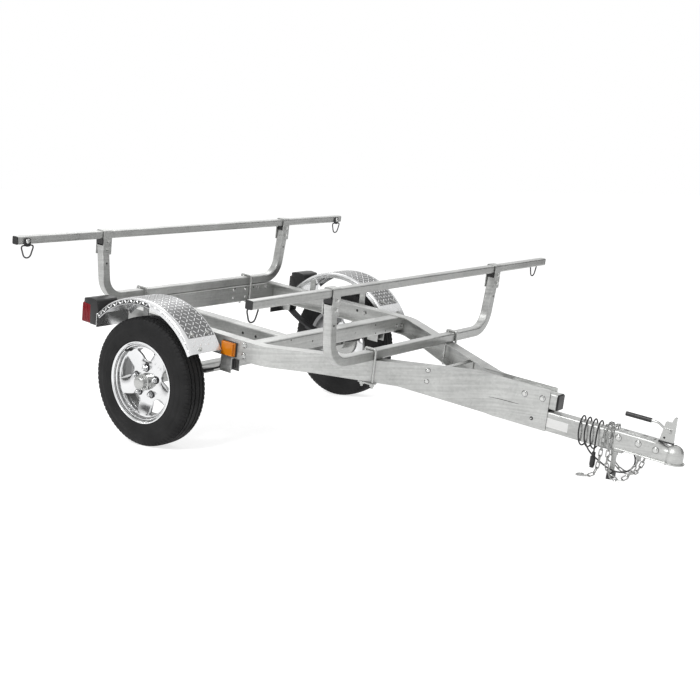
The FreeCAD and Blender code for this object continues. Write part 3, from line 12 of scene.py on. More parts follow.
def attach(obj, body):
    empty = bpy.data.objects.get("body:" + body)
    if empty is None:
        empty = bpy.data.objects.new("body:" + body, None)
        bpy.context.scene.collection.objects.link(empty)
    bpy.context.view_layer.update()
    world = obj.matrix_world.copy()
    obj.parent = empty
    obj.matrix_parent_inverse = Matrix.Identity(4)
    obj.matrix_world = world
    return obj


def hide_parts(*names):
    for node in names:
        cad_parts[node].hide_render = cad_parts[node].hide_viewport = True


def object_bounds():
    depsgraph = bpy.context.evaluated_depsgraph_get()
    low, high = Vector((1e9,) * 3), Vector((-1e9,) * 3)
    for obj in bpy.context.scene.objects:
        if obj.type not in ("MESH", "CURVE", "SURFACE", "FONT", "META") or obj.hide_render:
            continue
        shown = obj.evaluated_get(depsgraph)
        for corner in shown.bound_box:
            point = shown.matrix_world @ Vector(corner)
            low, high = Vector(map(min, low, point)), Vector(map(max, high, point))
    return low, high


bl_info = {
    "name": "Boat trailer dresser",
    "version": (1, 0, 0),
    "blender": (4, 5, 0),
    "location": "View3D > Sidebar > Trailer",
    "description": "Finishes and fittings for a boat trailer",
    "category": "Object",
}

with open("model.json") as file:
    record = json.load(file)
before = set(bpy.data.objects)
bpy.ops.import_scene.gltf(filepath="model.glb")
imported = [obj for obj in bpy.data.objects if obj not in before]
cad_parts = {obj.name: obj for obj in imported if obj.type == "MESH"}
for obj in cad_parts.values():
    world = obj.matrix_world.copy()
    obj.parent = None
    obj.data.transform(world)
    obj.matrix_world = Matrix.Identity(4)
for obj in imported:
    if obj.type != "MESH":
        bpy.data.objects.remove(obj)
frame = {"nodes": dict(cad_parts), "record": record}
CAD_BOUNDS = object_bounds()
FLOOR_LEVEL = CAD_BOUNDS[0][2]

# The trailer is drawn level, in millimetres from the wheels' axis, and leans nose down as it parks.
PITCH = math.radians(7.6)
MIDDLE = 788.909
TYRE_RADIUS = 265.0
LEVEL = (Matrix.Translation((-MIDDLE / 1000, 0, TYRE_RADIUS / 1000)) @ Matrix.Rotation(PITCH, 4, "Y")
         @ Matrix.Scale(0.001, 4))
FORWARD = Vector((1, 0, 0))
LEFT = Vector((0, 1, 0))
UP = Vector((0, 0, 1))
# The right side is drawn, and flipped for the left.
SIDES = (("right", False), ("left", True))

WHEEL_Y = 656.0
RAIL_Y = 530.0
RAIL_INSIDE = 526.0
RAIL_NEAR = 29.7
RAIL_TURN = 469.0
RAIL_SLANT = math.radians(33.46)
RAIL_NORMAL = Vector((math.sin(RAIL_SLANT), -math.cos(RAIL_SLANT), 0))
NECK_RADIUS = 120.0
NECK_START, NECK_END = 1196.0, 1262.0
REAR_MEMBER, FRONT_MEMBER = -373.0, 418.0
FENDER_RADIUS = 345.0
FENDER_OUT, FENDER_IN = -735.0, -560.0
BAR_PLACES = (-398.0, 814.0)
BAR_HALF = 15.9
CRADLE_FRONT = 23.4
COUPLER_SIDE = 30.7


class TrailerView(bpy.types.PropertyGroup):
    """Where the picture is taken from."""

    azimuth: FloatProperty(
        name="Azimuth", description="Turn of the camera round the trailer", subtype="ANGLE",
        default=math.radians(36.46))
    elevation: FloatProperty(
        name="Elevation", description="Height angle of the camera", subtype="ANGLE", default=math.radians(9.34))
    roll: FloatProperty(
        name="Roll", description="Tilt of the camera about its line of sight", subtype="ANGLE",
        default=math.radians(0.18))
    distance: FloatProperty(
        name="Distance", description="From the target to the camera", unit="LENGTH", default=5.0137)
    lens: FloatProperty(name="Lens", description="Focal length", unit="CAMERA", default=61.0)
    target: FloatVectorProperty(
        name="Target", description="Point in the middle of the picture", subtype="TRANSLATION",
        default=(-0.2656, 0.0, 0.3584))


class TrailerColours(bpy.types.PropertyGroup):
    """Base colours of the finishes."""

    zinc: FloatVectorProperty(
        name="Zinc", description="Galvanised steel", subtype="COLOR", default=(0.47, 0.475, 0.465), min=0, max=1)
    aluminium: FloatVectorProperty(
        name="Aluminium", description="Tread plate and wheels", subtype="COLOR", default=(0.72, 0.725, 0.73),
        min=0, max=1)
    rubber: FloatVectorProperty(
        name="Rubber", description="Tyres", subtype="COLOR", default=(0.007, 0.007, 0.0073), min=0, max=1)
    plastic: FloatVectorProperty(
        name="Plastic", description="Plugs, caps and housings", subtype="COLOR", default=(0.012, 0.012, 0.0125),
        min=0, max=1)
    red: FloatVectorProperty(
        name="Red lens", description="Tail lamps", subtype="COLOR", default=(0.20, 0.004, 0.009), min=0, max=1)
    amber: FloatVectorProperty(
        name="Amber lens", description="Side markers", subtype="COLOR", default=(0.62, 0.19, 0.006), min=0, max=1)


class TrailerFittings(bpy.types.PropertyGroup):
    """Counts and sizes of the pieces added to the frame."""

    lugs: IntProperty(name="Shoulder lugs", description="Lugs round each shoulder of a tyre", default=84, min=24)
    spokes: IntProperty(name="Spokes", description="Spokes of a wheel", default=5, min=3)
    groove: FloatProperty(
        name="Groove depth", description="Depth of the tread's grooves", unit="LENGTH", default=0.006)
    bar_pitch: FloatProperty(
        name="Bar pitch", description="Spacing of the tread plate's bars", unit="LENGTH", default=0.0185)
    bar_rise: FloatProperty(
        name="Bar rise", description="Height of the tread plate's bars", unit="LENGTH", default=0.0012)
    bolt: FloatProperty(
        name="Bolt head", description="Half a bolt head's width across its flats", unit="LENGTH", default=0.0075)
    chain_wire: FloatProperty(
        name="Chain wire", description="Thickness of a chain link's wire", unit="LENGTH", default=0.0046)
    cord: FloatProperty(name="Cord", description="Thickness of the wiring cord", unit="LENGTH", default=0.006)


class TrailerSettings(bpy.types.PropertyGroup):
    """All of the trailer's properties."""

    view: PointerProperty(type=TrailerView, name="View", description="Camera")
    colours: PointerProperty(type=TrailerColours, name="Colours", description="Base colours")
    fittings: PointerProperty(type=TrailerFittings, name="Fittings", description="Counts and sizes of added pieces")


def settings():
    """The add-on's properties of this scene."""
    return bpy.context.scene.trailer


def size(name):
    """One of the fittings' sizes, in the level trailer's millimetres."""
    return 1000 * getattr(settings().fittings, name)


# ---- materials


def feed(tree, node, values):
    """Give a node's inputs, by name or number, plain values or links from other nodes."""
    for name, source in values.items():
        socket = node.inputs[name.replace("_", " ") if isinstance(name, str) else name]
        if isinstance(source, bpy.types.NodeSocket):
            tree.links.new(source, socket)
        else:
            socket.default_value = source


def add_node(tree, kind, *sources, group=None, operation=None, **named):
    """A new node whose inputs are fed in their order or by name."""
    node = tree.nodes.new(kind)
    if group:
        node.node_tree = bpy.data.node_groups[group]
    if operation:
        node.operation = operation
    feed(tree, node, {**dict(enumerate(sources)), **named})
    return node


def maths(tree, operation, *sources):
    """The result of a Math node."""
    return add_node(tree, "ShaderNodeMath", *sources, operation=operation).outputs["Value"]


def new_group(name, inputs, outputs):
    """An empty shader node group with named sockets."""
    group = bpy.data.node_groups.new(name, "ShaderNodeTree")
    for socket, kind, default in inputs:
        made = group.interface.new_socket(socket, in_out="INPUT", socket_type=kind)
        if default is not None:
            made.default_value = default
    for socket, kind in outputs:
        group.interface.new_socket(socket, in_out="OUTPUT", socket_type=kind)
    return group, group.nodes.new("NodeGroupInput").outputs, group.nodes.new("NodeGroupOutput")


STREAK_STRETCH = (1.0, 1.0, 26.0)


def spangle_group():
    """Zinc's faint crystals under slow clouds and level streaks."""
    group, given, end = new_group(
        "Zinc spangle",
        [("Vector", "NodeSocketVector", None), ("Colour", "NodeSocketColor", (0.6, 0.6, 0.6, 1)),
         ("Crystal scale", "NodeSocketFloat", 90.0), ("Contrast", "NodeSocketFloat", 0.16),
         ("Roughness", "NodeSocketFloat", 0.4)],
        [("Colour", "NodeSocketColor"), ("Roughness", "NodeSocketFloat"), ("Height", "NodeSocketFloat")])
    cells = add_node(group, "ShaderNodeTexVoronoi", Vector=given["Vector"], Scale=given["Crystal scale"])
    grey = add_node(group, "ShaderNodeSeparateColor", cells.outputs["Color"])
    clouds = add_node(group, "ShaderNodeTexNoise", Vector=given["Vector"], Scale=7.0, Detail=5.0)
    stretch = add_node(group, "ShaderNodeVectorMath", given["Vector"], STREAK_STRETCH, operation="MULTIPLY")
    streaks = add_node(group, "ShaderNodeTexNoise", Vector=stretch.outputs["Vector"], Scale=5.0, Detail=4.0)
    every = 0.0
    for source, reach in ((grey.outputs["Red"], 0.3), (clouds.outputs["Fac"], 1.4), (streaks.outputs["Fac"], 1.6)):
        every = maths(group, "ADD", maths(group, "MULTIPLY_ADD", source, reach, -reach / 2), every)
    scaled = maths(group, "MULTIPLY_ADD", every, given["Contrast"], 1.0)
    tint = add_node(group, "ShaderNodeVectorMath", given["Colour"], operation="SCALE", Scale=scaled)
    feed(group, end, {
        "Colour": tint.outputs["Vector"], "Roughness": maths(group, "MULTIPLY", scaled, given["Roughness"]),
        "Height": clouds.outputs["Fac"]})


def grain_group():
    """Fine grain with slow patches, for rubber, plastic and worn metal."""
    group, given, end = new_group(
        "Fine grain",
        [("Vector", "NodeSocketVector", None), ("Grain scale", "NodeSocketFloat", 900.0),
         ("Patch scale", "NodeSocketFloat", 14.0), ("Low", "NodeSocketFloat", 0.4),
         ("High", "NodeSocketFloat", 0.6)],
        [("Value", "NodeSocketFloat"), ("Height", "NodeSocketFloat")])
    fine = add_node(group, "ShaderNodeTexNoise", Vector=given["Vector"], Scale=given["Grain scale"])
    patches = add_node(group, "ShaderNodeTexNoise", Vector=given["Vector"], Scale=given["Patch scale"], Detail=6.0)
    spread = add_node(group, "ShaderNodeMapRange", Value=patches.outputs["Fac"], From_Min=0.3, From_Max=0.7,
                      To_Min=given["Low"], To_Max=given["High"])
    feed(group, end, {"Value": spread.outputs["Result"], "Height": fine.outputs["Fac"]})


def new_material(name, **values):
    """A material, its node tree and its Principled shader with some inputs fed."""
    material = bpy.data.materials.new(name)
    material.use_nodes = True
    tree = material.node_tree
    shader = tree.nodes["Principled BSDF"]
    feed(tree, shader, values)
    return material, tree, shader


def textured(tree, group, **values):
    """The outputs of a shared group, in the object's own coordinates."""
    coords = add_node(tree, "ShaderNodeTexCoord")
    return add_node(tree, "ShaderNodeGroup", group=group, Vector=coords.outputs["Object"], **values).outputs


def bumped(tree, height, strength, distance):
    """A height read as a bump on the surface's normal."""
    return add_node(tree, "ShaderNodeBump", Strength=strength, Distance=distance, Height=height).outputs["Normal"]


def rgba(colour):
    """A colour as four numbers."""
    return (*colour, 1.0)


def darker(colour, share):
    """A share of a colour."""
    return [share * part for part in colour]


def zinc_finish(name, contrast, roughness, scale, shine=1.0):
    """Galvanised or plated steel."""
    material, tree, shader = new_material(name, Metallic=0.7)
    crystals = textured(tree, "Zinc spangle", Colour=rgba(darker(settings().colours.zinc, shine)),
                        Crystal_scale=scale, Contrast=contrast, Roughness=roughness)
    feed(tree, shader, {"Base_Color": crystals["Colour"], "Roughness": crystals["Roughness"],
                        "Normal": bumped(tree, crystals["Height"], 0.15, 0.0008)})
    return material


def grained_finish(name, colour, low, high, bump, **values):
    """A plain colour whose roughness varies in patches from low to high, with a fine grain."""
    material, tree, shader = new_material(name, Base_Color=rgba(colour), **values)
    grain = textured(tree, "Fine grain", Low=low, High=high)
    feed(tree, shader, {"Roughness": grain["Value"], "Normal": bumped(tree, grain["Height"], bump, 0.0004)})
    return material


def make_finishes():
    """Every material, by the name of its slot in the record or of its own."""
    spangle_group()
    grain_group()
    colours = settings().colours
    bright = colours.aluminium
    return {
        "galvanised": zinc_finish("Galvanised steel", 0.42, 0.38, 110.0),
        "zinc": zinc_finish("Bright zinc", 0.10, 0.26, 220.0, 0.95),
        "chain_zinc": zinc_finish("Chain zinc", 0.20, 0.24, 260.0, 0.72),
        "bolt_zinc": grained_finish("Bolt zinc", (0.54, 0.545, 0.535), 0.14, 0.26, 0.03, Metallic=1.0),
        "chrome": grained_finish("Chrome", (0.55, 0.555, 0.56), 0.05, 0.12, 0.01, Metallic=1.0),
        "tread_plate": grained_finish("Tread plate", bright, 0.16, 0.30, 0.05, Metallic=0.8),
        # Painted shade: the ground between the tread plate's bars at a quarter of the plate's brightness.
        "painted_field_shade": grained_finish("Tread field painted shade", darker(bright, 0.25), 0.24, 0.40, 0.08, Metallic=0.9),
        # Painted shade: the rear half of the near lip's ground at an eighth of the plate's brightness.
        "lip_painted_shade": grained_finish("Lip painted shade", darker(bright, 0.125), 0.3, 0.45, 0.08, Metallic=0.9),
        "polished_alloy": grained_finish("Polished alloy", bright, 0.12, 0.24, 0.02, Metallic=1.0),
        "satin_alloy": grained_finish("Satin alloy", darker(bright, 0.9), 0.10, 0.2, 0.03, Metallic=1.0),
        "cast_alloy": grained_finish("Cast alloy", darker(bright, 0.325), 0.30, 0.45, 0.08, Metallic=0.9),
        # Painted shade: near black rings under the wheel nuts.
        "painted_nut_shade": grained_finish("Nut pocket painted shade", (0.05, 0.05, 0.052), 0.35, 0.5, 0.04, Metallic=0.6),
        "label": grained_finish("Blank label", (0.84, 0.84, 0.83), 0.3, 0.45, 0.02),
        "tyre": grained_finish("Tyre rubber", colours.rubber, 0.62, 0.82, 0.25, Specular_IOR_Level=0.3),
        # Black plastic, also the painted shade in holes, creases and latch slots.
        "black_plastic": grained_finish("Black plastic and painted shade", colours.plastic, 0.35, 0.5, 0.15),
        # Black steel, also the painted shadow rings round bolts and the painted shade in the spring hangers'
        # openings.
        "black_steel": grained_finish("Black steel and painted shade", (0.022, 0.022, 0.023), 0.35, 0.55, 0.2),
        "red_lens": grained_finish("Red lens", colours.red, 0.2, 0.3, 0.02, Specular_IOR_Level=0.3),
        "amber_lens": grained_finish("Amber lens", colours.amber, 0.12, 0.2, 0.02, Coat_Weight=0.3),
    }


# ---- mesh code


def spaced(start, end, count):
    """Values at even steps from start to end, both included."""
    return [start + (end - start) * n / count for n in range(count + 1)]


def clamped(share):
    """A share kept between 0 and 1."""
    return min(max(share, 0.0), 1.0)


def polar(radius, angle):
    """A flat place at a radius and an angle."""
    return radius * math.cos(angle), radius * math.sin(angle)


def circle(radius, steps):
    """Flat places evenly round a circle."""
    return [polar(radius, 2 * math.pi * n / steps) for n in range(steps)]


def facing(place, direction, roll=0.0):
    """A matrix that carries local Z to a direction at a place."""
    turn = Vector(direction).to_track_quat("Z", "Y").to_matrix().to_4x4()
    return Matrix.Translation(place) @ turn @ Matrix.Rotation(roll, 4, "Z")


def outward(x, y, z):
    """A matrix whose local Z runs out of the right side, local X forward and local Y up."""
    return Matrix.Translation((x, y, z)) @ Matrix.Rotation(math.radians(90), 4, "X")


def bridge(bm, first, second):
    """Quads between two rings of vertices."""
    for n, vert in enumerate(first):
        after = (n + 1) % len(first)
        bm.faces.new((vert, first[after], second[after], second[n]))


def loft(bm, rows, ends=(0, -1)):
    """A skin over rings of places, closed at the ends that are named."""
    rings = [[bm.verts.new(place) for place in row] for row in rows]
    for first, second in zip(rings, rings[1:]):
        bridge(bm, first, second)
    for end in ends:
        bm.faces.new(rings[end])
    return rings


def spun(bm, matrix, profile, steps=24, loop=False):
    """A shape turned about local Z from (height, radius) pairs; a radius of 0 closes the end."""
    rings = loft(bm, [[matrix @ Vector((u, v, height)) for u, v in circle(radius, steps)]
                      for height, radius in profile if radius], ())
    if loop:
        bridge(bm, rings[-1], rings[0])
    for end in (0, -1):
        height, radius = profile[end]
        if not radius:
            tip = bm.verts.new(matrix @ Vector((0, 0, height)))
            for n, vert in enumerate(rings[end]):
                bm.faces.new((vert, rings[end][(n + 1) % steps], tip))


def scaled(profile, radius):
    """A profile whose radii are shares of one radius."""
    return [(height, share * radius) for height, share in profile]


def plate(bm, matrix, outline, depth):
    """A flat outline pushed along local Z."""
    loft(bm, [[matrix @ Vector((u, v, height)) for u, v in outline] for height in (0, depth)])


def oblong(half_u, half_v, corner):
    """A rectangle's outline with rounded corners."""
    outline = []
    for quarter, (u, v) in enumerate(((1, 1), (-1, 1), (-1, -1), (1, -1))):
        for angle in spaced(math.pi / 2 * quarter, math.pi / 2 * (quarter + 1), 4):
            round_u, round_v = polar(corner, angle)
            outline.append((u * (half_u - corner) + round_u, v * (half_v - corner) + round_v))
    return outline


def slab(bm, low, high, corner=1.2):
    """A box between two corners with its edges rounded off."""
    made = bmesh.ops.create_cube(bm, size=1.0)
    middle = (Vector(low) + Vector(high)) / 2
    extent = Vector(high) - Vector(low)
    for vert in made["verts"]:
        vert.co = middle + vert.co * extent
    edges = {edge for vert in made["verts"] for edge in vert.link_edges}
    bmesh.ops.bevel(bm, geom=list(edges), offset=corner, segments=2, affect="EDGES", profile=0.5)


def wire_through(bm, places, normal, radius, closed=True, steps=8):
    """A round wire through places that lie in one plane."""
    rows = []
    for n, place in enumerate(places):
        before = places[n - 1] if closed or n else place
        after = places[(n + 1) % len(places)] if closed or n < len(places) - 1 else place
        side = normal.cross((after - before).normalized())
        rows.append([place + side * u + normal * v for u, v in circle(radius, steps)])
    rings = loft(bm, rows, () if closed else (0, -1))
    if closed:
        bridge(bm, rings[-1], rings[0])


WASHER = ((-0.5, 0), (-0.5, 1.5), (1.4, 1.5), (1.8, 1.42), (1.8, 0))
HEXAGON = ((1.8, 0), (1.8, 0.96), (2.4, 1.0), (6.4, 1.0), (7.4, 0.86), (7.4, 0))
DOME = ((-0.5, 0), (-0.5, 1.0), (0.8, 1.0), (2.2, 0.93), (3.6, 0.74), (4.6, 0.45), (5.0, 0))
# Profile of the painted shade disc in a hole's mouth.
HOLE = ((-0.6, 0), (-0.6, 1.0), (0.25, 1.0), (0.3, 0.86), (0.1, 0.8), (0.1, 0))
SHANK_SHARE = 0.62
# How far the top of a painted shadow ring is drawn in from its edge.
SHADOW_RIM = 0.7


def hex_bolt(bm, place, direction, roll=0.3, grow=1.0):
    """A washer and a chamfered hexagon head."""
    half = size("bolt") * grow
    matrix = facing(place, direction, roll)
    spun(bm, matrix, scaled(WASHER, half))
    spun(bm, matrix, scaled(HEXAGON, half / math.cos(math.pi / 6)), 6)


def tail_nut(bm, place, direction, grow, tail):
    """A nut on a washer with the bolt's end standing out of it."""
    hex_bolt(bm, place, direction, 0.1, grow)
    profile = ((7.0, 0), (7.0, 1.0), (7.4 + tail, 1.0), (8.4 + tail, 0.8), (8.4 + tail, 0))
    spun(bm, facing(place, direction), scaled(profile, size("bolt") * grow * SHANK_SHARE), 16)


def round_bolt(bm, place, direction, radius):
    """A carriage bolt's low domed head."""
    spun(bm, facing(place, direction), scaled(DOME, radius))


def bolt_shadow(bm, place, direction, radius):
    """A dark ring under a washer: painted contact shadow."""
    profile = [(-0.4, 0), (-0.4, radius), (0.15, radius), (0.3, radius - SHADOW_RIM), (0.3, 0)]
    spun(bm, facing(place, direction), profile)


def hole(bm, place, direction, radius=4.2):
    """A dark disc in a drilled hole's mouth, with a soft edge: painted shade."""
    spun(bm, facing(place, direction), scaled(HOLE, radius), 20)


FINISHES = {}


def finished(name, bm, slot, smooth, flip=False, finish=None, body="chassis"):
    """Makes an object of a mesh drawn in the level trailer, with its body and its finish, which is its slot's unless
    another is named.
    """
    if flip:
        bm.transform(Matrix.Scale(-1, 4, LEFT))
    bmesh.ops.recalc_face_normals(bm, faces=bm.faces)
    mesh = bpy.data.meshes.new(name)
    bm.to_mesh(mesh)
    bm.free()
    mesh.transform(LEVEL)
    mesh.shade_smooth()
    mesh.set_sharp_from_angle(angle=math.radians(smooth))
    piece = bpy.data.objects.new(name, mesh)
    bpy.context.scene.collection.objects.link(piece)
    mesh.materials.append(FINISHES[finish or slot])
    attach(piece, body)
    return piece


class TRAILER_OT_finishes(bpy.types.Operator):
    """Give every frame piece the material of its slot"""

    bl_idname = "trailer.finishes"
    bl_label = "Finishes"

    def execute(self, context):
        FINISHES.update(make_finishes())
        for part in frame["record"]["subparts"]:
            node = frame["nodes"][part["node"]]
            node.data.materials.clear()
            node.data.materials.append(FINISHES[part["material_slot"]])
        return {"FINISHED"}


# ---- the cord

# Places along it: x from the tongue's open end, then y and z.
CORD_ROUTE = (
    (-46, 0, 110), (-12, -1, 108), (22, -3, 100), (45, -6, 80), (54, -9, 52), (46, -14, 26), (24, -20, 8),
    (-6, -24, 2), (-36, -26, 6), (-66, -18, 14), (-98, -4, 22), (-130, 12, 30), (-156, 26, 44),
)
CORD_END = 1772.0
LOOP_START = 1586.0
LOOP_PITCH = 24.0
LOOP_TURNS = 3.5
LOOP_STEPS = 12
LOOP_HALF_WIDTH = 40.8
LOOP_HALF_HEIGHT = 57.0
LOOP_Z = 112.1
CORD_TAIL = ((1, -2, -28), (1, -2, -56))


def cord_points():
    """The route's points: out of the tongue, down in a bight, back, round the tongue and down."""
    points = [Vector((CORD_END + x, y, z)) for x, y, z in CORD_ROUTE]
    for n in range(1, int(LOOP_STEPS * LOOP_TURNS) + 3):
        angle = 2 * math.pi * (n + 1) / LOOP_STEPS
        points.append(Vector((LOOP_START + LOOP_PITCH * n / LOOP_STEPS, LOOP_HALF_WIDTH * math.sin(angle),
                              LOOP_Z - LOOP_HALF_HEIGHT * math.cos(angle))))
    last = points[-1]
    return points + [last + Vector(step) for step in CORD_TAIL]


class TRAILER_OT_cord(bpy.types.Operator):
    """Hang the wiring cord out of the tongue, wind it round the tongue and let its end hang down"""

    bl_idname = "trailer.cord"
    bl_label = "Wiring cord"

    def execute(self, context):
        thick = round(settings().fittings.cord, 6)
        data = bpy.data.curves.new("wiring_cord", "CURVE")
        data.dimensions = "3D"
        data.resolution_u = 6
        data.bevel_depth = thick / 2
        data.bevel_resolution = 4
        data.use_fill_caps = True
        spline = data.splines.new("NURBS")
        places = [LEVEL @ place for place in cord_points()]
        spline.points.add(len(places) - 1)
        for point, place in zip(spline.points, places):
            point.co = (*place, 1)
        spline.order_u = 3
        spline.use_endpoint_u = True
        data.materials.append(FINISHES["black_plastic"])
        cord = bpy.data.objects.new("wiring_cord", data)
        context.scene.collection.objects.link(cord)
        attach(cord, "chassis")
        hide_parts("wiring_harness")
        tuple(places[0])
        return {"FINISHED"}


# ---- wheels: heights run outward from the wheel's middle plane

WHEEL = outward(0, -WHEEL_Y, 0)
TYRE_HALF = (
    (46.8, 153.6), (50.2, 157.0), (52.4, 163.0), (53.2, 169.6), (54.8, 170.4), (56.2, 173.0), (57.4, 179.0),
    (58.2, 187.0), (58.3, 193.5), (58.9, 194.3), (58.9, 196.3), (58.3, 197.1), (58.5, 206.0), (58.3, 214.0),
    (57.8, 222.0), (57.3, 222.8), (57.1, 229.0), (56.3, 236.0), (55.0, 242.5), (53.6, 247.5),
)
SHOULDER = ((52.2, 251.2), (50.6, 254.8), (48.8, 257.8), (46.4, 260.4), (43.0, 262.0), (38.5, 262.6))
SHOULDER_CUT = 1.6
RIBS = (35.5, 33.4, 32.9, 29.1, 28.6, 20.5, 14.6, 14.1, 10.1, 9.6)
GROOVE_RIBS = (2, 3, 7, 8)
STRAIGHT_RIBS = (0, 5)
CROWN_DROP, CROWN_REACH = 3.0, 48.0
# Share of a lug's length, whether it is in the gap between two lugs, and which way a rib's edge wanders.
LUG_STEPS = ((0.0, False, 0.9), (0.60, False, 0.9), (0.68, True, -0.9), (0.92, True, -0.9))


def tyre_rows():
    """Across, radius, how far a lug's gap cuts in, and how far a rib's edge wanders, bead to bead."""
    half = [(across, radius, 0.0, 0.0) for across, radius in TYRE_HALF]
    half += [(across, radius, SHOULDER_CUT, 0.0) for across, radius in SHOULDER]
    for n, across in enumerate(RIBS):
        crown = TYRE_RADIUS - CROWN_DROP * (across / CROWN_REACH) ** 2
        depth = size("groove") if n in GROOVE_RIBS else 0.0
        half.append((across, crown - depth, 0.0, 0.0 if n in STRAIGHT_RIBS else 1.0))
    return half + [(-across, radius, cut, wander) for across, radius, cut, wander in reversed(half)]


def tyre_mesh():
    """A ribbed tyre with lugs on its shoulders."""
    bm = bmesh.new()
    lugs = settings().fittings.lugs
    rows = []
    for across, radius, cut, wander in tyre_rows():
        row = []
        for lug in range(lugs):
            for share, gap, shift in LUG_STEPS:
                u, v = polar(radius - cut * gap, 2 * math.pi * (lug + share) / lugs)
                out = across + wander * shift - math.copysign(cut / 2, across) * gap
                row.append(WHEEL @ Vector((u, v, out)))
        rows.append(row)
    loft(bm, rows, ())
    return bm


SPOKE_TURN = math.radians(-16)
RIM_LIP = (
    (52.6, 158.0), (53.6, 166.4), (55.0, 167.8), (56.6, 167.6), (57.5, 166.0), (57.4, 163.4), (55.8, 162.0),
    (54.4, 161.0), (51.6, 159.4), (50.4, 159.0), (50.0, 156.2), (46.8, 154.6), (46.2, 154.2), (45.8, 151.2),
    (42.0, 149.4), (41.4, 149.0), (40.8, 146.2), (34.0, 144.4), (28.0, 143.8), (8.0, 143.6), (6.0, 138.6),
    (-28.0, 138.6), (-42.0, 150.0), (-52.0, 153.0), (-55.0, 158.0), (-57.4, 163.0), (-57.4, 167.0), (-53.8, 167.6),
    (-53.6, 164.0), (-44.0, 153.4), (-24.0, 142.2), (20.0, 142.2), (34.0, 149.6), (44.0, 155.0),
)
LIP_POINTS, LIP_CURL = 18, 5
LIP_BACK, LIP_THICK = 1.2, 1.4
WINDOW_LOW, WINDOW_HIGH = 86.0, 139.0
WINDOW_HALF, WINDOW_GROWTH = 9.0, 14.5
WINDOW_ENDS, WINDOW_OPEN = (0.2, 0.12), 0.42
WINDOW_SHARES = (0.0, 0.03, 0.08, 0.14, 0.2, 0.34, 0.5, 0.66, 0.8, 0.88, 0.93, 0.97, 1.0)
HUB_RADII = (34.6, 38.0, 44.0, 56.0, 68.0, 78.0)
EDGE_RADII = (142.0, 144.6)
FACE_LOW, FACE_RISE, FACE_RUN = 24.0, 10.5, 62.0
SPOKE_SINK, SINK_FROM, SINK_RUN = 7.0, 62.0, 84.0
SPOKE_POINTS, SECTOR_POINTS = 9, 16


def window_half(radius):
    """Half of a window's angle at a radius: narrow at the hub, wide at the rim."""
    return math.radians(WINDOW_HALF + WINDOW_GROWTH * clamped((radius - WINDOW_LOW) / (WINDOW_HIGH - WINDOW_LOW)))


def window_round(share):
    """How much of that angle is open near a window's two ends."""
    end = min(share / WINDOW_ENDS[0], (1.0 - share) / WINDOW_ENDS[1], 1.0)
    return WINDOW_OPEN + (1.0 - WINDOW_OPEN) * math.sqrt(1.0 - (1.0 - end) ** 2)


def face_height(radius):
    """How far out the wheel's face stands at a radius."""
    share = clamped((radius - HUB_RADII[-1]) / FACE_RUN)
    return FACE_LOW + FACE_RISE * share * share * (3 - 2 * share)


def lip_mesh():
    """The stepped, polished lip round the wheel's face, with a skin behind it."""
    bm = bmesh.new()
    back = [(across - LIP_BACK, radius + LIP_THICK) for across, radius in RIM_LIP[LIP_POINTS - 1:LIP_CURL:-1]]
    spun(bm, WHEEL, list(RIM_LIP[:LIP_POINTS]) + back, 120, loop=True)
    return bm


def barrel_mesh():
    """The well and the inner flange behind the face."""
    bm = bmesh.new()
    spun(bm, WHEEL, RIM_LIP[LIP_POINTS - 2:], 96, loop=True)
    return bm


def spoke_mesh():
    """The wheel's face, one sheet with crowned spokes; a modifier gives it its thickness."""
    bm = bmesh.new()
    matrix = WHEEL @ Matrix.Rotation(SPOKE_TURN, 4, "Z")
    count = settings().fittings.spokes
    sector = 2 * math.pi / count
    windows = [(WINDOW_LOW + (WINDOW_HIGH - WINDOW_LOW) * share, window_round(share)) for share in WINDOW_SHARES]
    rings = []
    for radius, opening in [(r, 1.0) for r in HUB_RADII] + windows + [(r, 1.0) for r in EDGE_RADII]:
        half = window_half(radius) * opening
        spoke = sector / 2 - half
        sink = SPOKE_SINK * math.sin(math.pi * clamped((radius - SINK_FROM) / SINK_RUN))
        shifts = [spoke * share for share in spaced(-1, 1, 8)]
        shifts += [sector / 2 + half * share for share in spaced(-1, 1, 8)[1:-1]]
        ring = []
        for n in range(count):
            for shift in shifts:
                away = min(abs(shift) / spoke, 1.0)
                u, v = polar(radius, sector * n + shift)
                ring.append(bm.verts.new(matrix @ Vector((u, v, face_height(radius) - sink * away * away))))
        rings.append(ring)
    open_rows = range(len(HUB_RADII), len(HUB_RADII) + len(WINDOW_SHARES) - 1)
    for index, (first, second) in enumerate(zip(rings, rings[1:])):
        for n, vert in enumerate(first):
            if index not in open_rows or n % SECTOR_POINTS < SPOKE_POINTS - 1:
                after = (n + 1) % len(first)
                bm.faces.new((vert, first[after], second[after], second[n]))
    return bm


def thicken(face):
    """Give the wheel's face its thickness and softened edges."""
    thick = face.modifiers.new("thickness", "SOLIDIFY")
    thick.thickness = 0.012
    thick.offset = -1.0
    edge = face.modifiers.new("edges", "BEVEL")
    edge.width = 0.0016
    edge.segments = 2
    edge.limit_method = "ANGLE"
    edge.angle_limit = math.radians(50)


HUB_CAP = (
    (-44.0, 13.2), (-44.0, 34.0), (0.6, 34.0), (0.6, 67.0), (9.4, 67.5), (9.6, 34.2), (40.0, 34.0), (43.0, 33.4),
    (44.6, 31.0), (45.2, 28.6), (58.0, 27.6), (62.0, 27.2), (66.0, 25.2), (68.6, 21.6), (69.8, 16.0), (70.0, 8.0),
    (70.0, 0),
)
STUD_CIRCLE = 57.0
NUT_LOW = 24.4
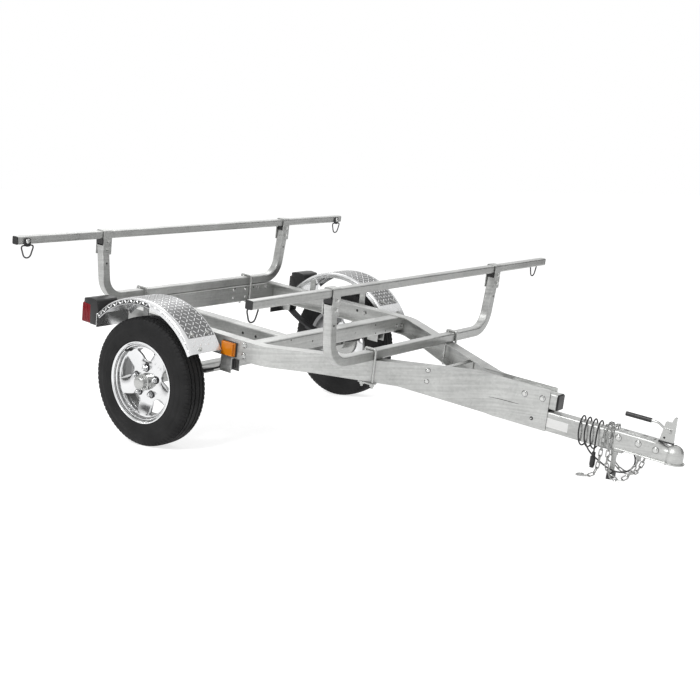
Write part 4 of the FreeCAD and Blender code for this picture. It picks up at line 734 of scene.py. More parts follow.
# The dark ring under each nut, painted shade, as (height, radius) pairs.
NUT_SHADE_RING = ((-0.3, 8.0), (-0.3, 16.4), (0.6, 16.4), (1.0, 15.8), (0.5, 13.0), (0.35, 8.0))
NUT_SEAT = ((0, 0), (0, 9.6), (2.4, 11.6), (3.4, 11.6), (3.6, 10.6), (3.6, 0))
NUT_SIDES = ((3.4, 0), (3.4, 10.2), (4.2, 10.8), (13.4, 10.8), (14.4, 9.6), (14.4, 0))
NUT_DOME = ((14.0, 8.9), (16.6, 8.4), (19.2, 6.9), (21.0, 4.4), (21.6, 0))
VALVE_PLACE = (-86, 116, 40)
VALVE = ((-6, 0), (-6, 6.5), (0, 6.5), (4, 4.2), (15, 3.8), (15.5, 4.4), (25, 4.2), (26, 3.4), (26, 0))


def hub_mesh():
    """The hub with its flange and its tall cap."""
    bm = bmesh.new()
    spun(bm, WHEEL, HUB_CAP, 64)
    return bm


def valve_mesh():
    """The valve's rubber stem, which stands inside the rim."""
    bm = bmesh.new()
    spun(bm, WHEEL @ Matrix.Translation(VALVE_PLACE), VALVE, 20)
    return bm


def stud_seats():
    """A matrix at the foot of each nut, with local Z outward."""
    count = settings().fittings.spokes
    for n in range(count):
        angle = SPOKE_TURN + 2 * math.pi * (n + 0.5) / count
        spot = WHEEL @ Vector((*polar(STUD_CIRCLE, angle), NUT_LOW))
        yield facing(spot, WHEEL.to_3x3() @ UP, angle)


def nut_shade_mesh():
    """Dark rings under the nuts: painted shade in the pockets that they stand in."""
    bm = bmesh.new()
    for seat in stud_seats():
        spun(bm, seat, NUT_SHADE_RING, 24, loop=True)
    return bm


def nuts_mesh():
    """Plated nuts with domed ends."""
    bm = bmesh.new()
    for seat in stud_seats():
        spun(bm, seat, NUT_SEAT, 20)
        spun(bm, seat, NUT_SIDES, 6)
        spun(bm, seat, NUT_DOME, 20)
    return bm


class TRAILER_OT_wheels(bpy.types.Operator):
    """Tyres with ribs and lugs, wheels with five spokes, hubs with caps, and nuts"""

    bl_idname = "trailer.wheels"
    bl_label = "Wheels"

    def execute(self, context):
        for side, flip in SIDES:
            rides = {"flip": flip, "body": f"wheel_{side}"}
            tyre = finished(f"tread_tyre_{side}", tyre_mesh(), "tyre", 32, **rides)
            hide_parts(f"tyre_{side}")
            lip = finished(f"wheel_lip_{side}", lip_mesh(), "polished_alloy", 28, **rides)
            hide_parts(f"rim_{side}")
            finished(f"valve_{side}", valve_mesh(), "black_plastic", 35, **rides)
            finished(f"wheel_barrel_{side}", barrel_mesh(), "polished_alloy", 28, finish="cast_alloy", **rides)
            face = finished(f"wheel_face_{side}", spoke_mesh(), "polished_alloy", 40, finish="satin_alloy", **rides)
            thicken(face)
            hub = finished(f"capped_hub_{side}", hub_mesh(), "zinc", 35, **rides)
            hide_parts(f"hub_{side}")
            # Painted shade round the foot of each nut.
            finished(f"painted_nut_shades_{side}", nut_shade_mesh(), "polished_alloy", 35, finish="painted_nut_shade", **rides)
            nuts = finished(f"wheel_nuts_{side}", nuts_mesh(), "chrome", 35, **rides)
            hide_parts(f"lug_nuts_{side}")
        return {"FINISHED"}


# ---- fenders: arcs are in degrees up from straight ahead of the axle

BARS_ARC = (39.0, 136.0)
LIP_BARS_ARC = (37.0, 136.0)
FIELD_ARC = (44.0, 136.5)
LIP_FIELD_ARC = (82.0, 136.5)
LIP_BAR_RADIUS = 331.5
LIP_FIELD_RADII = (322.5, 338.5)
FIELD_LIFT = 0.25
# How far the bars and the field stay inside the arch's near and far edge.
BARS_INSET = (29, 21)
FIELD_INSET = (20, 11)
BAR_WIDTH, LIP_BAR_WIDTH = 5.4, 6.2
BAR_LENGTH = 1.08
BAR_SHOULDER = 0.55
BAR_RIDGE = (0.72, 0.42)
BAR_ROOT = -0.2
FENDER_BOLTS = ((46.4, -604.5), (35.8, -680.7), (46.4, -690.0), (134.0, -604.5), (134.0, -690.0))


def diamond(bm, matrix, length, width, rise):
    """One raised bar of tread plate: a pointed lozenge with a ridge."""
    half, side = length / 2, width / 2
    near = half * BAR_SHOULDER
    low = [(-half, 0), (-near, -side), (near, -side), (half, 0), (near, side), (-near, side)]
    base = [matrix @ Vector((u, v, BAR_ROOT)) for u, v in low]
    top = [matrix @ Vector((u * BAR_RIDGE[0], v * BAR_RIDGE[1], rise)) for u, v in low]
    loft(bm, [base, top], (-1,))


def curved(angle, across):
    """Local X along the arch, local Y across it and local Z out of it."""
    turn = Matrix.Rotation(math.pi / 2 - angle, 4, "Y")
    return Matrix.Translation((0, across, 0)) @ turn @ Matrix.Translation((0, 0, FENDER_RADIUS))


def crossed(n):
    """A turn by 45 degrees to one side or the other, for every second bar."""
    return Matrix.Rotation(math.radians(45 if n % 2 else -45), 4, "Z")


def tread_bars():
    """The raised bars over the arch and its near lip, turned to alternate sides."""
    pitch, rise = size("bar_pitch"), size("bar_rise")
    bm = bmesh.new()
    first, last = map(math.radians, BARS_ARC)
    rows = int(FENDER_RADIUS * (last - first) / pitch)
    low, high = FENDER_OUT + BARS_INSET[0], FENDER_IN - BARS_INSET[1]
    columns = int((high - low) / pitch)
    for i, angle in enumerate(spaced(first, last, rows)):
        for j, across in enumerate(spaced(low, high, columns)):
            diamond(bm, curved(angle, across) @ crossed(i + j), pitch * BAR_LENGTH, BAR_WIDTH, rise)
    for i, angle in enumerate(spaced(*map(math.radians, LIP_BARS_ARC), rows + 2)):
        x, z = polar(LIP_BAR_RADIUS, angle)
        seat = outward(x, FENDER_OUT, z) @ Matrix.Rotation(angle, 4, "Z")
        diamond(bm, seat @ crossed(i), pitch, LIP_BAR_WIDTH, rise)
    return bm


def arch_skin(arc, steps, section):
    """A thin skin along the arch, with a section of (radius, across) corners."""
    bm = bmesh.new()
    rows = []
    for angle in spaced(*map(math.radians, arc), steps):
        flat = [(*polar(radius, angle), across) for radius, across in section]
        rows.append([Vector((x, y, z)) for x, z, y in flat])
    loft(bm, rows)
    return bm


def painted_field_shade():
    """A skin over the ground under the bars, rougher than the plate's smooth bends, whose darker colour is painted
    shade between the bars.
    """
    low, high = FENDER_OUT + FIELD_INSET[0], FENDER_IN - FIELD_INSET[1]
    base, top = FENDER_RADIUS, FENDER_RADIUS + FIELD_LIFT
    return arch_skin(FIELD_ARC, 60, ((base, low), (top, low), (top, high), (base, high)))


def lip_ground_shade():
    """Painted shade over the ground of the rear half of the arch's near lip."""
    low, high = LIP_FIELD_RADII
    base, top = FENDER_OUT + 0.1, FENDER_OUT - FIELD_LIFT
    return arch_skin(LIP_FIELD_ARC, 40, ((low, base), (low, top), (high, top), (high, base)))


def fender_bolts():
    """The bolts that hold a fender on its brackets."""
    bm = bmesh.new()
    for angle, across in FENDER_BOLTS:
        seat = curved(math.radians(angle), across)
        hex_bolt(bm, seat.translation, seat.to_3x3() @ UP, 0.2, 0.85)
    return bm


class TRAILER_OT_fenders(bpy.types.Operator):
    """Raised bars and bolts on the tread-plate fenders"""

    bl_idname = "trailer.fenders"
    bl_label = "Fenders"

    def execute(self, context):
        for side, flip in SIDES:
            finished(f"tread_bars_{side}", tread_bars(), "tread_plate", 20, flip)
            # The darker skins over the ground and the near lip are painted shade.
            finished(f"painted_field_shade_{side}", painted_field_shade(), "tread_plate", 30, flip, "painted_field_shade")
            # Painted shade on the rear half of the near lip.
            finished(f"lip_ground_shade_{side}", lip_ground_shade(), "tread_plate", 30, flip, "lip_painted_shade")
            finished(f"fender_bolts_{side}", fender_bolts(), "zinc", 35, flip)
        return {"FINISHED"}


# ---- frame fittings: bolts and holes on the rails are placed by (x, z), and on the crossmembers by (y, z)

RAIL_BOLTS = ((375, 221), (375, 177), (198, 202), (1357, 196), (1433, 196))
# Round heads on the rails: x, z, radius, and the radius of the painted shadow ring round them.
RAIL_HEADS = ((1400, 109, 3.4, 7.4), (1007, 222, 8.6, 9.8), (1007, 178, 8.6, 9.8))
COUPLER_BOLTS = ((1754, 132), (1831, 131), (1898, 126))
CRADLE_BOLT_Y, CRADLE_BOLTS = -585, (503, 468)
REAR_HEADS = ((-230, 220), (-316, 218), (-230, 183), (-316, 181))
REAR_HOLES = ((375, 221), (240, 226), (319, 226), (-240, 226), (-319, 226))
FRONT_HOLES = ((-294, 221), (300, 216), (308, 178), (384, 179), (-384, 179))
REAR_BOLTS = ((407, 221), (466, 217))
FRONT_BOLTS = ((471, 194), (509, 192), (-471, 194), (-509, 192))
CHANNEL_HOLES = (175, 246)
CREASE = ((1212, 146.5), (1338, 149.5))
CREASE_HALF, CREASE_STEPS = 1.1, 16
STRAP_SPOT, STRAP_BACK = (1007, 194), 3.4
LABEL_PLACE = Vector((1506, -25.3, 110))


def rail_spot(x, z):
    """A place on the right-hand rail's outer face, and that face's outward direction."""
    if x > NECK_END:
        return Vector((x, -RAIL_NEAR, z)), -LEFT
    if x > NECK_START:
        share = (NECK_END - x) / NECK_RADIUS
        out = Vector((share, -math.sqrt(1 - share * share), 0))
        return Vector((NECK_END, -RAIL_NEAR - NECK_RADIUS, z)) - out * NECK_RADIUS, out
    if x > RAIL_TURN:
        return Vector((x, -RAIL_Y + (x - RAIL_TURN) * math.tan(RAIL_SLANT), z)), RAIL_NORMAL
    return Vector((x, -RAIL_Y, z)), -LEFT


def frame_bolts():
    """The right half's bolts, and the painted shadow rings round them."""
    # The second mesh holds the painted contact shadows round the bolts.
    bolts, seats = bmesh.new(), bmesh.new()
    for x, z in RAIL_BOLTS:
        place, out = rail_spot(x, z)
        hex_bolt(bolts, place, out)
        bolt_shadow(seats, place, out, 12.8)
    for x, z, radius, dark in RAIL_HEADS:
        place, out = rail_spot(x, z)
        round_bolt(bolts, place, out, radius)
        bolt_shadow(seats, place, out, dark)
    for x, z in COUPLER_BOLTS:
        place = Vector((x, -COUPLER_SIDE, z))
        hex_bolt(bolts, place, -LEFT, 0.1)
        bolt_shadow(seats, place, -LEFT, 12.6)
    for bar in BAR_PLACES:
        for z in CRADLE_BOLTS:
            for out in (FORWARD, -FORWARD):
                hex_bolt(bolts, Vector((bar, CRADLE_BOLT_Y, z)) + out * CRADLE_FRONT, out, 0.2, 0.8)
    for y, z in REAR_HEADS:
        round_bolt(bolts, Vector((REAR_MEMBER + 0.2, y, z)), FORWARD, 6.0)
    return bolts, seats


def hanger_opening_shade():
    """Dark ribbed pads in the opening of the front spring hanger: painted shade."""
    bm = bmesh.new()
    slab(bm, (272, -527.4, 97), (298, -482.6, 151), 2.0)
    for y in (-516, -505, -494):
        slab(bm, (296, y - 3, 101), (301, y + 3, 147))
    return bm


def crease(bm, start, end):
    """A dark strip along both rails' webs between two (x, z) spots: painted shade in the crease."""
    for sign in (1, -1):
        rows = []
        for share in spaced(0, 1, CREASE_STEPS):
            place, out = rail_spot(start[0] + (end[0] - start[0]) * share, start[1] + (end[1] - start[1]) * share)
            half = CREASE_HALF * math.sqrt(math.sin(math.pi * (0.06 + 0.88 * share)))
            row = [place + out * high + UP * low for high, low in
                   ((-0.3, -half), (0.25, -half), (0.25, half), (-0.3, half))]
            rows.append([(spot.x, sign * spot.y, spot.z) for spot in row])
        loft(bm, rows)


def painted_hole_and_crease_shade():
    """Painted shade: dark discs in the mouths of the frame's holes, and dark strips in the rails' creases."""
    bm = bmesh.new()
    for y, z in REAR_HOLES:
        hole(bm, Vector((REAR_MEMBER, y, z)), FORWARD)
    for y, z in FRONT_HOLES:
        hole(bm, Vector((FRONT_MEMBER, y, z)), FORWARD, 3.6)
    hole(bm, Vector((151, RAIL_INSIDE, 202)), -LEFT, 6.5)
    crease(bm, *CREASE)
    # Dark discs in the inner channel's holes: painted shade.
    for x in CHANNEL_HOLES:
        spun(bm, facing(Vector((x, -314.2, 199.2)), LEFT), ((0, 0), (0, 6.0), (3.0, 6.0), (3.0, 0)), 20)
    return bm


def inner_bolts():
    """Bolts on the crossmembers' front faces and inside the left rail."""
    bm = bmesh.new()
    for y, z in REAR_BOLTS:
        hex_bolt(bm, Vector((REAR_MEMBER, y, z)), FORWARD, 0.2, 0.9)
    for y, z in FRONT_BOLTS:
        hex_bolt(bm, Vector((FRONT_MEMBER, y, z)), FORWARD, 0.2, 0.8)
    hex_bolt(bm, Vector((195, RAIL_INSIDE, 200)), -LEFT, 0.2, 0.9)
    return bm


def rail_strap():
    """A strap across the rails' tops with a leg down the inside of each."""
    bm = bmesh.new()
    slab(bm, (996, -158, 213), (1018, 158, 216.5))
    place, out = rail_spot(*STRAP_SPOT)
    leg = facing(place - out * STRAP_BACK, -out)
    for seat in (leg, Matrix.Scale(-1, 4, LEFT) @ leg):
        plate(bm, seat, oblong(11, 22, 2.5), 3.2)
    return bm


def blank_label():
    """A plain plate on the tongue."""
    bm = bmesh.new()
    plate(bm, facing(LABEL_PLACE, -LEFT), oblong(45.5, 17.5, 2.5), 0.5)
    return bm


class TRAILER_OT_bolts(bpy.types.Operator):
    """Bolts with their painted shadow rings, painted shade in the drilled holes, the creases and the spring hangers'
    openings, the strap of the frame, and a blank label
    """

    bl_idname = "trailer.bolts"
    bl_label = "Frame bolts"

    def execute(self, context):
        for side, flip in SIDES:
            bolts, seats = frame_bolts()
            finished(f"frame_bolts_{side}", bolts, "zinc", 35, flip, "bolt_zinc")
            # Painted contact shadow round the frame's bolts.
            finished(f"bolt_shadows_{side}", seats, "black_steel", 35, flip)
            # Painted shade in the front spring hanger's opening.
            finished(f"hanger_opening_shade_{side}", hanger_opening_shade(), "black_steel", 35, flip)
        # Painted shade in the frame's holes and the rails' creases.
        finished("painted_hole_and_crease_shade", painted_hole_and_crease_shade(), "black_plastic", 30)
        finished("inner_bolts", inner_bolts(), "zinc", 35)
        finished("rail_strap", rail_strap(), "galvanised", 30)
        finished("blank_label", blank_label(), "galvanised", 30, finish="label")
        return {"FINISHED"}


# ---- chains: places are (forward, outward, lift above the floor), and None stands for the slack or the floor

CHAIN_FALL = ((-6, 3, 62), (-22, 8, 22), (-50, None, 0), (-80, None, 3))
CHAIN_CLIMB = ((20, 0, 22), (6, -4, 55))
RIGHT_TAIL = ((0, 3, 100), (0, 5, 62))
LEFT_TAIL = ((0, 3, 100), (-1, 5, 50), (-3, 7, 8), (-9, 9, -17), (-20, 10, None), (-44, 10, None))
HOOK_TILT = 0.12
# Side, its sign, where the chain crosses the tongue, its slack, its tail, and how its last link lies.
CHAINS = (
    ("right", -1, 1726.0, 14.0, RIGHT_TAIL, (-UP, LEFT)),
    ("left", 1, 1702.0, 31.0, LEFT_TAIL,
     (Vector((-1, 0, -math.tan(PITCH) - HOOK_TILT)), Vector((HOOK_TILT, 0, -1)))),
)
LINK_INNER = 24.5
LINK_GAP = 8.0
LINK_PLAY = 0.7
CHAIN_ANCHOR = (1843.0, 33.0)
CHAIN_TOP = 75.6
TAB_Z, TAB_THICK = 82.0, 4.6
TONGUE_HALF, TONGUE_TOP = 25.4, 150.2
SIDE_GAP, TOP_GAP = 2.0, 3.5
# The hook's line, in shares of its length and its width.
HOOK_LINE = ((0, 0), (0.3, -0.02), (0.6, 0.05), (0.86, 0.24), (0.98, 0.5), (0.95, 0.78), (0.75, 0.97), (0.45, 1.0),
             (0.2, 0.86), (0.08, 0.62))
HOOK_LONG, HOOK_WIDE = 30.0, 28.0


def floor_z(x, lift):
    """The height in the level trailer that is a lift above the floor."""
    return (x * math.sin(PITCH) - TYRE_RADIUS + lift) / math.cos(PITCH)


def chain_route(side, cross_x, slack, tail, wire):
    """Places along one chain, from its anchor over the tongue to its hook."""
    low = LINK_GAP / 2 + wire + 1.0
    beside = TONGUE_HALF + SIDE_GAP + low
    above = TONGUE_TOP + TOP_GAP + low
    x0, y0 = CHAIN_ANCHOR
    points = [Vector((x0, side * y0, CHAIN_TOP - wire))]
    for x, y, lift in CHAIN_FALL:
        out = slack if y is None else y
        points.append(Vector((x0 + x, side * (y0 + out), floor_z(x0 + x, low + lift))))
    for x, y, lift in CHAIN_CLIMB:
        points.append(Vector((cross_x + x, side * (beside + slack + y), floor_z(cross_x + x, low + lift))))
    for y, z in ((beside, above - 40), (beside, above - 8), (beside - 8, above), (8 - beside, above),
                 (-beside, above - 8)):
        points.append(Vector((cross_x, side * y, z)))
    for x, y, z in tail:
        points.append(Vector((cross_x + x, -side * (beside + y), floor_z(cross_x + x, low) if z is None else z)))
    return points


def walk(points, step):
    """Places at equal straight distances along a run of points, found on quarter millimetres."""
    fine = []
    for start, end in zip(points, points[1:]):
        count = max(2, int((end - start).length * 4))
        fine += [start + (end - start) * (n / count) for n in range(count)]
    fine.append(points[-1])
    found = [fine[0]]
    for place in fine:
        if (place - found[-1]).length >= step:
            found.append(place)
    return found


def square(direction, along):
    """The part of a direction that is square to another one."""
    return (direction - along * direction.dot(along)).normalized()


def chain_link(bm, centre, along, flat, wire):
    """A link of round wire: two straight sides and two round ends."""
    long = (LINK_INNER + wire) / 2
    wide = (LINK_GAP + wire) / 2
    side = flat.cross(along)
    places = []
    for sign in (1, -1):
        for angle in spaced(-math.pi / 2, math.pi / 2, 6):
            u, v = polar(wide, angle)
            places.append(centre + along * sign * (long - wide + u) + side * sign * v)
    wire_through(bm, places, flat, wire / 2)


def chain_mesh(points, lie, wire):
    """Round links along the route, and at its end one more with an open hook."""
    bm = bmesh.new()
    step = LINK_INNER - LINK_PLAY
    joints = walk(points, step)
    flat = FORWARD
    for start, end in zip(joints, joints[1:]):
        along = (end - start).normalized()
        flat = square(flat, along)
        chain_link(bm, (start + end) / 2, along, flat, wire)
        flat = along.cross(flat)
    last = joints[-1]
    along = lie[0].normalized()
    flat = square(lie[1], along)
    chain_link(bm, last + along * (step / 2), along, flat, wire)
    reach = step / 2 + (LINK_INNER + wire) / 2
    side = flat.cross(along)
    places = [last + along * (reach + HOOK_LONG * a) + side * (HOOK_WIDE * b) for a, b in HOOK_LINE]
    wire_through(bm, places, flat, wire * 0.66, False, 10)
    return bm


class TRAILER_OT_chains(bpy.types.Operator):
    """Round the links of the two safety chains"""

    bl_idname = "trailer.chains"
    bl_label = "Safety chains"

    def execute(self, context):
        wire = size("chain_wire")
        x, y = CHAIN_ANCHOR
        for name, side, cross_x, slack, tail, lie in CHAINS:
            bm = chain_mesh(chain_route(side, cross_x, slack, tail, wire), lie, wire)
            plate(bm, facing(Vector((x, side * y - TAB_THICK / 2, TAB_Z)), LEFT), oblong(9.2, 12.0, 3.0), TAB_THICK)
            chain = finished(f"round_link_chain_{name}", bm, "zinc", 40, finish="chain_zinc")
            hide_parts(f"safety_chain_{name}")
        return {"FINISHED"}


# ---- coupler

COUPLER_LOW = 88.5
COUPLER_WALL = 4
BALL = (1958.0, 122.1)
CUP_RADIUS, CUP_BORE = 33.4, 26.4
# Sections of the pressed channel: x, half width, top and the radius of its upper corners.
COUPLER_SECTIONS = (
    (1738, 30.7, 155.5, 6), (1862, 30.7, 155.5, 6), (1888, 30.7, 155.3, 8), (1902, 30.0, 153.4, 11),
    (1914, 28.6, 149.4, 15), (1925, 27.4, 145.6, 18), (1935, 27.4, 144.0, 20), (1946, 28.6, 145.0, 22),
    (1956, 29.4, 146.0, 23),
)
# The flange along the coupler's foot: x, and where its inner and outer edges run.
FLANGE_SIDE = ((1748.0, 29.0, 37.7), (1850.0, 29.0, 37.7), (1925.0, 27.0, 37.0))
FLANGE_INNER, FLANGE_OUTER = 30.0, 40.4
FLANGE_END = math.radians(105)
# Corners of the flange's section: share of the way in from its outer edge, and height.
FLANGE_SECTION = ((1.0, 0.0), (0.0, 0.0), (0.0, 3.4), (0.1, 4.6), (1.0, 4.8))


def arch(x, half, top, corner):
    """Points of a channel's section, open below, from one lower edge to the other."""
    found = [Vector((x, -half, COUPLER_LOW))]
    for side, turn in ((-1, math.pi), (1, math.pi / 2)):
        for angle in spaced(turn, turn - math.pi / 2, 6):
            u, v = polar(corner, angle)
            found.append(Vector((x, side * (half - corner) + u, top - corner + v)))
    return found + [Vector((x, half, COUPLER_LOW))]


def coupler_mesh():
    """A pressed channel that narrows to a neck before its round cup, with a flange along its foot."""
    bm = bmesh.new()
    rows = []
    for x, half, top, corner in COUPLER_SECTIONS:
        inner = arch(x, half - COUPLER_WALL, top - COUPLER_WALL, max(corner - COUPLER_WALL, 2))
        rows.append(arch(x, half, top, corner) + inner[::-1])
    loft(bm, rows, (0,))
    x, z = BALL
    cup = Matrix.Translation((x, 0, 0))
    for radius in (CUP_RADIUS, CUP_BORE):
        dome = [polar(radius, math.radians(9 * n)) for n in range(1, 10)]
        spun(bm, cup, [(COUPLER_LOW, radius), (z, radius)] + [(z + high, out) for out, high in dome], 48)
    spun(bm, cup, [(COUPLER_LOW, CUP_BORE), (COUPLER_LOW, CUP_RADIUS)], 48)
    right = [((a, -inner), (a, -outer)) for a, inner, outer in FLANGE_SIDE]
    left = [((a, inner), (a, outer)) for a, inner, outer in reversed(FLANGE_SIDE)]
    nose = []
    for angle in spaced(-FLANGE_END, FLANGE_END, 24):
        (a, b), (c, d) = polar(FLANGE_INNER, angle), polar(FLANGE_OUTER, angle)
        nose.append(((x + a, b), (x + c, d)))
    rows = [[Vector((c + (a - c) * share, d + (b - d) * share, COUPLER_LOW + high)) for share, high in FLANGE_SECTION]
            for (a, b), (c, d) in right + nose + left]
    loft(bm, rows)
    slab(bm, (1750, -14, 154), (1880, 14, 158.6), 2.0)
    return bm


def latch_slot_shade():
    """Painted shade in the latch's slots, in two side holes and in the gap at its foot."""
    bm = bmesh.new()
    for x in (1768, 1842):
        plate(bm, Matrix.Translation((x, 0, 158.4)), oblong(9, 3.4, 3.2), 0.5)
    for sign in (1, -1):
        hole(bm, Vector((1912, sign * 4.4, 172)), sign * LEFT, 4.0)
    plate(bm, Matrix.Translation((1921, 0, 155.0)), oblong(28, 8.5, 3.0), 4.0)
    return bm


def latch_bolts():
    """The latch's pivot bolt, and the strip and nut under the coupler."""
    bm = bmesh.new()
    for sign in (1, -1):
        hex_bolt(bm, Vector((1928, sign * 4.4, 200)), sign * LEFT, 0.2, 0.7)
    slab(bm, (1922, -20, 84.6), (1940, 20, 88.6))
    tail_nut(bm, Vector((1931, 0, 84.8)), -UP, 0.7, 3.0)
    return bm


class TRAILER_OT_coupler(bpy.types.Operator):
    """Round the pressed coupler, and add the latch's foot, the painted shade in its slots, and its bolts"""

    bl_idname = "trailer.coupler"
    bl_label = "Coupler"

    def execute(self, context):
        coupler = finished("pressed_coupler", coupler_mesh(), "galvanised", 38)
        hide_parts("coupler")
        # Painted shade in the latch's slots and gap.
        finished("latch_slot_shade", latch_slot_shade(), "black_plastic", 30)
        finished("latch_bolts", latch_bolts(), "zinc", 35)
        return {"FINISHED"}


# ---- tie-down rings

RING_Y = 998.0
RING_TOP, RING_LOW = 508.8, 459.0
RING_WIRE = 3.0
RING_GAP = 0.3
RING_CORNER = 15.0
CLIP_Z, CLIP_THICK = 521.0, 7.2
RING_BOLT_Z, RING_BOLT_RADIUS = 526.0, 10.0


def softened(corners, reach):
    """A closed run of places whose corners are rounded off."""
    found = []
    for n, corner in enumerate(corners):
        before = (corners[n - 1] - corner).normalized() * reach
        after = (corners[(n + 1) % len(corners)] - corner).normalized() * reach
        found += [corner + before * (1 - share) ** 2 + after * share ** 2 for share in spaced(0, 1, 5)]
    return found


def tie_ring(bm, x, y, direction):
    """A wire ring that hangs in a clip on one face of a load bar."""
    line = x + direction * (RING_WIRE + RING_GAP)
    corners = [Vector((line, y + across, z)) for across, z in
               ((-32, RING_TOP), (-14, RING_LOW), (14, RING_LOW), (32, RING_TOP))]
    wire_through(bm, softened(corners, RING_CORNER), FORWARD, RING_WIRE, steps=10)
    seat = facing(Vector((x - direction * RING_GAP, y, CLIP_Z)), direction * FORWARD)
    plate(bm, seat, oblong(14.5, 17.0, 10.0), CLIP_THICK)


class TRAILER_OT_rings(bpy.types.Operator):
    """Hang the tie-down rings in their clips, on the faces of the load bars that look at each other"""

    bl_idname = "trailer.rings"
    bl_label = "Tie-down rings"

    def execute(self, context):
        rings, bolts = bmesh.new(), bmesh.new()
        for bar, direction in zip(BAR_PLACES, (1, -1)):
            face = bar + direction * BAR_HALF
            for y in (-RING_Y, RING_Y):
                tie_ring(rings, face, y, direction)
                place = Vector((face + direction * (CLIP_THICK - RING_GAP), y, RING_BOLT_Z))
                round_bolt(bolts, place, direction * FORWARD, RING_BOLT_RADIUS)
        clipped = finished("clipped_tie_rings", rings, "black_steel", 40)
        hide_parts("tie_down_rings")
        finished("ring_bolts", bolts, "zinc", 35, finish="bolt_zinc")
        return {"FINISHED"}


# ---- lamps

HOOD_PROFILE = (
    (-337.8, 264.4), (-337.8, 280.0), (-334.0, 284.4), (-300.0, 290.5), (-268.0, 287.5), (-262.0, 283.0),
    (-253.0, 248.0), (-253.0, 181.2), (-297.0, 181.2), (-297.0, 264.4),
)
HOOD_INNER, HOOD_WIDE = -617.2, 111.6
HOOD_EDGE = 12
MARKER_FACE = -550.9
REFLECTOR = ((0, 0), (0, 16.0), (1.2, 15.4), (1.2, 12.6), (0.2, 12.0), (0.2, 6.6), (1.0, 5.8), (1.6, 3.2), (1.8, 0))


def lens_ribs():
    """Level ribs on a tail lens's rear face and upright ones on its side."""
    bm = bmesh.new()
    for z in spaced(190.0, 255.6, 8):
        slab(bm, (-348.6, -724.0, z), (-346.6, -622.0, z + 4.6), 0.9)
    for x in spaced(-341.0, -303.4, 4):
        slab(bm, (x, -728.2, 188.0), (x + 5.0, -726.6, 257.0), 0.7)
    return bm


def lamp_hood():
    """A tail lamp's housing, peaked above its lens, with only its long edges softened."""
    bm = bmesh.new()
    plate(bm, outward(0, HOOD_INNER, 0), HOOD_PROFILE, HOOD_WIDE)
    edges = [edge for edge in bm.edges if edge.calc_length() > HOOD_EDGE]
    bmesh.ops.bevel(bm, geom=edges, offset=2.2, segments=2, affect="EDGES", profile=0.5)
    slab(bm, (-347.0, -618.9, 181.4), (-296.0, HOOD_INNER, 264.2), 0.6)
    return bm


def marker_reflector():
    """Ribs along the side marker's upper and lower edges, and its round reflector."""
    bm = bmesh.new()
    for z in (214, 166):
        slab(bm, (272, MARKER_FACE - 0.6, z), (334, MARKER_FACE + 1.5, z + 4), 0.6)
    spun(bm, facing(Vector((303, MARKER_FACE + 0.8, 192)), -LEFT), REFLECTOR, 32)
    return bm


class TRAILER_OT_lamps(bpy.types.Operator):
    """Ribs and reflectors on the tail lamps and the side markers"""

    bl_idname = "trailer.lamps"
    bl_label = "Lamps"

    def execute(self, context):
        for side, flip in SIDES:
            finished(f"lens_ribs_{side}", lens_ribs(), "red_lens", 40, flip)
            hood = finished(f"lamp_hood_{side}", lamp_hood(), "black_plastic", 35, flip)
            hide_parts(f"tail_lamp_{side}")
            finished(f"marker_reflector_{side}", marker_reflector(), "amber_lens", 30, flip)
        return {"FINISHED"}


# ---- stage

WHITE = (1, 1, 1, 1)
WORLD_LIGHT = 0.5
FLOOR_SIZE = 60
FLOOR_GLOW = 0.74
SENSOR_WIDTH = 36.0


def area_lamp(name, place, aim, wide, power):
    """A soft square lamp that faces a point."""
    data = bpy.data.lights.new(name, "AREA")
    data.size = wide
    data.energy = power
    lamp = bpy.data.objects.new(name, data)
    lamp.location = place
    lamp.rotation_euler = (Vector(aim) - Vector(place)).to_track_quat("-Z", "Y").to_euler()
    bpy.context.scene.collection.objects.link(lamp)


def place_camera(view):
    """The camera, in front of the trailer's right side and a little above it."""
    data = bpy.data.cameras.new("Camera")
    data.lens = view.lens
    data.sensor_width = SENSOR_WIDTH
    camera = bpy.data.objects.new("Camera", data)
    level = math.cos(view.elevation)
    back = Vector((math.sin(view.azimuth) * level, -math.cos(view.azimuth) * level, math.sin(view.elevation)))
    camera.matrix_world = facing(Vector(view.target) + back * view.distance, back, view.roll)
    bpy.context.scene.collection.objects.link(camera)
    bpy.context.scene.camera = camera


def direct_look(tree):
    """1 where the camera, a reflection or glass looks at this material, and 0 for its light."""
    rays = add_node(tree, "ShaderNodeLightPath").outputs
    mirrored = maths(tree, "MAXIMUM", rays["Is Camera Ray"], rays["Is Glossy Ray"])
    return maths(tree, "MAXIMUM", mirrored, rays["Is Transmission Ray"])


def dark_card(name, place, aim, width, height):
    """A dark card that only reflections see, to give bright metal its darker sides."""
    bpy.ops.mesh.primitive_plane_add(size=1, location=place)
    card = bpy.context.object
    card.name = name
    card.scale = (width, height, 1)
    card.rotation_euler = (Vector(aim) - Vector(place)).to_track_quat("Z", "Y").to_euler()
    material = new_material(name, Base_Color=(0.02, 0.02, 0.02, 1), Roughness=1.0, Specular_IOR_Level=0.0)[0]
    card.data.materials.append(material)
    card.visible_camera = False
    card.visible_diffuse = False
    card.visible_transmission = False
    card.visible_shadow = False


def studio_world():
    """White to look at and in reflections, softer as a light."""
    world = bpy.data.worlds.new("Studio")
    bpy.context.scene.world = world
    world.use_nodes = True
    tree = world.node_tree
    strength = add_node(tree, "ShaderNodeMapRange", Value=direct_look(tree), To_Min=WORLD_LIGHT, To_Max=1.0)
    feed(tree, tree.nodes["Background"], {"Color": WHITE, "Strength": strength.outputs["Result"]})


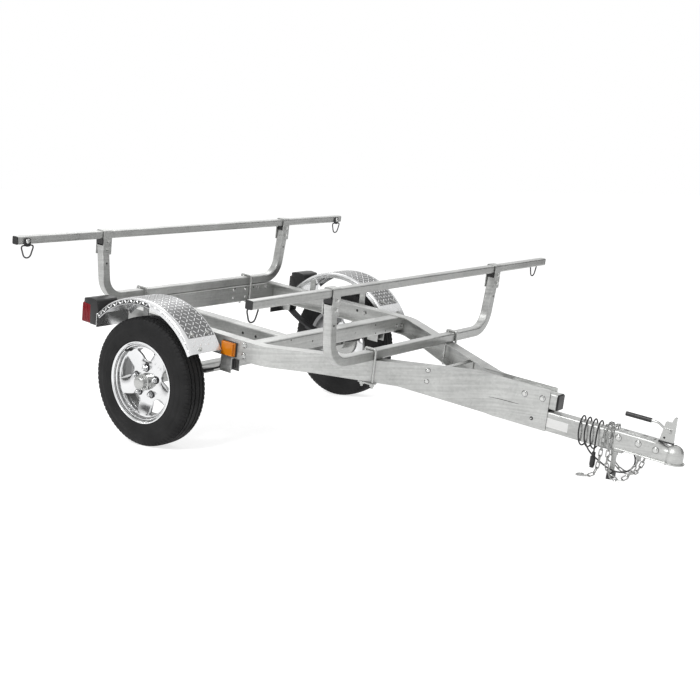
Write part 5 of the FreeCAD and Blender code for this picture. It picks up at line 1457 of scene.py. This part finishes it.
def studio_floor(context):
    """A pale floor that looks white where no shadow falls on it."""
    bpy.ops.mesh.primitive_plane_add(size=FLOOR_SIZE, location=(0, 0, FLOOR_LEVEL))
    floor = context.object
    floor.name = "floor"
    material, tree, shader = new_material(
        "Floor", Base_Color=(0.6, 0.6, 0.6, 1), Roughness=0.9, Specular_IOR_Level=0.0, Emission_Color=WHITE)
    feed(tree, shader, {"Emission_Strength": maths(tree, "MULTIPLY", direct_look(tree), FLOOR_GLOW)})
    floor.data.materials.append(material)


class TRAILER_OT_stage(bpy.types.Operator):
    """Set up the floor, the lamps, the world and the camera"""

    bl_idname = "trailer.stage"
    bl_label = "Stage"

    def execute(self, context):
        studio_floor(context)
        studio_world()
        area_lamp("key", (-0.5, -4.5, 4.5), (0, 0, 0.3), 1.5, 230)
        area_lamp("fill", (-4.0, 3.0, 4.5), (0, 0, 0.3), 3.0, 60)
        dark_card("dark_card_side", (2.6, 3.2, 0.9), (0, 0, 0.9), 5.0, 2.4)
        dark_card("dark_card_low", (-3.2, -3.4, 0.75), (-1.0, -0.6, 0.4), 3.5, 0.5)
        place_camera(settings().view)
        context.scene.view_settings.view_transform = "Standard"
        return {"FINISHED"}


STEPS = (
    TRAILER_OT_finishes, TRAILER_OT_stage, TRAILER_OT_cord, TRAILER_OT_wheels, TRAILER_OT_fenders,
    TRAILER_OT_bolts, TRAILER_OT_chains, TRAILER_OT_coupler, TRAILER_OT_rings, TRAILER_OT_lamps,
)


class TRAILER_PT_panel(bpy.types.Panel):
    """The trailer's steps and properties"""

    bl_idname = "TRAILER_PT_panel"
    bl_label = "Boat trailer"
    bl_space_type = "VIEW_3D"
    bl_region_type = "UI"
    bl_category = "Trailer"

    def draw(self, context):
        for group in (settings().view, settings().colours, settings().fittings):
            for name in type(group).__annotations__:
                self.layout.prop(group, name)
        for step in STEPS:
            self.layout.operator(step.bl_idname)


CLASSES = (TrailerView, TrailerColours, TrailerFittings, TrailerSettings, *STEPS, TRAILER_PT_panel)


def register():
    """Add the classes and the scene's properties."""
    for item in CLASSES:
        bpy.utils.register_class(item)
    bpy.types.Scene.trailer = PointerProperty(type=TrailerSettings)


def unregister():
    """Take them away again."""
    del bpy.types.Scene.trailer
    for item in reversed(CLASSES):
        bpy.utils.unregister_class(item)


def main():
    """Dress the trailer by taking each of the add-on's steps."""
    register()
    for step in STEPS:
        section, name = step.bl_idname.split(".")
        getattr(getattr(bpy.ops, section), name)()


if __name__ == "__main__":
    main()
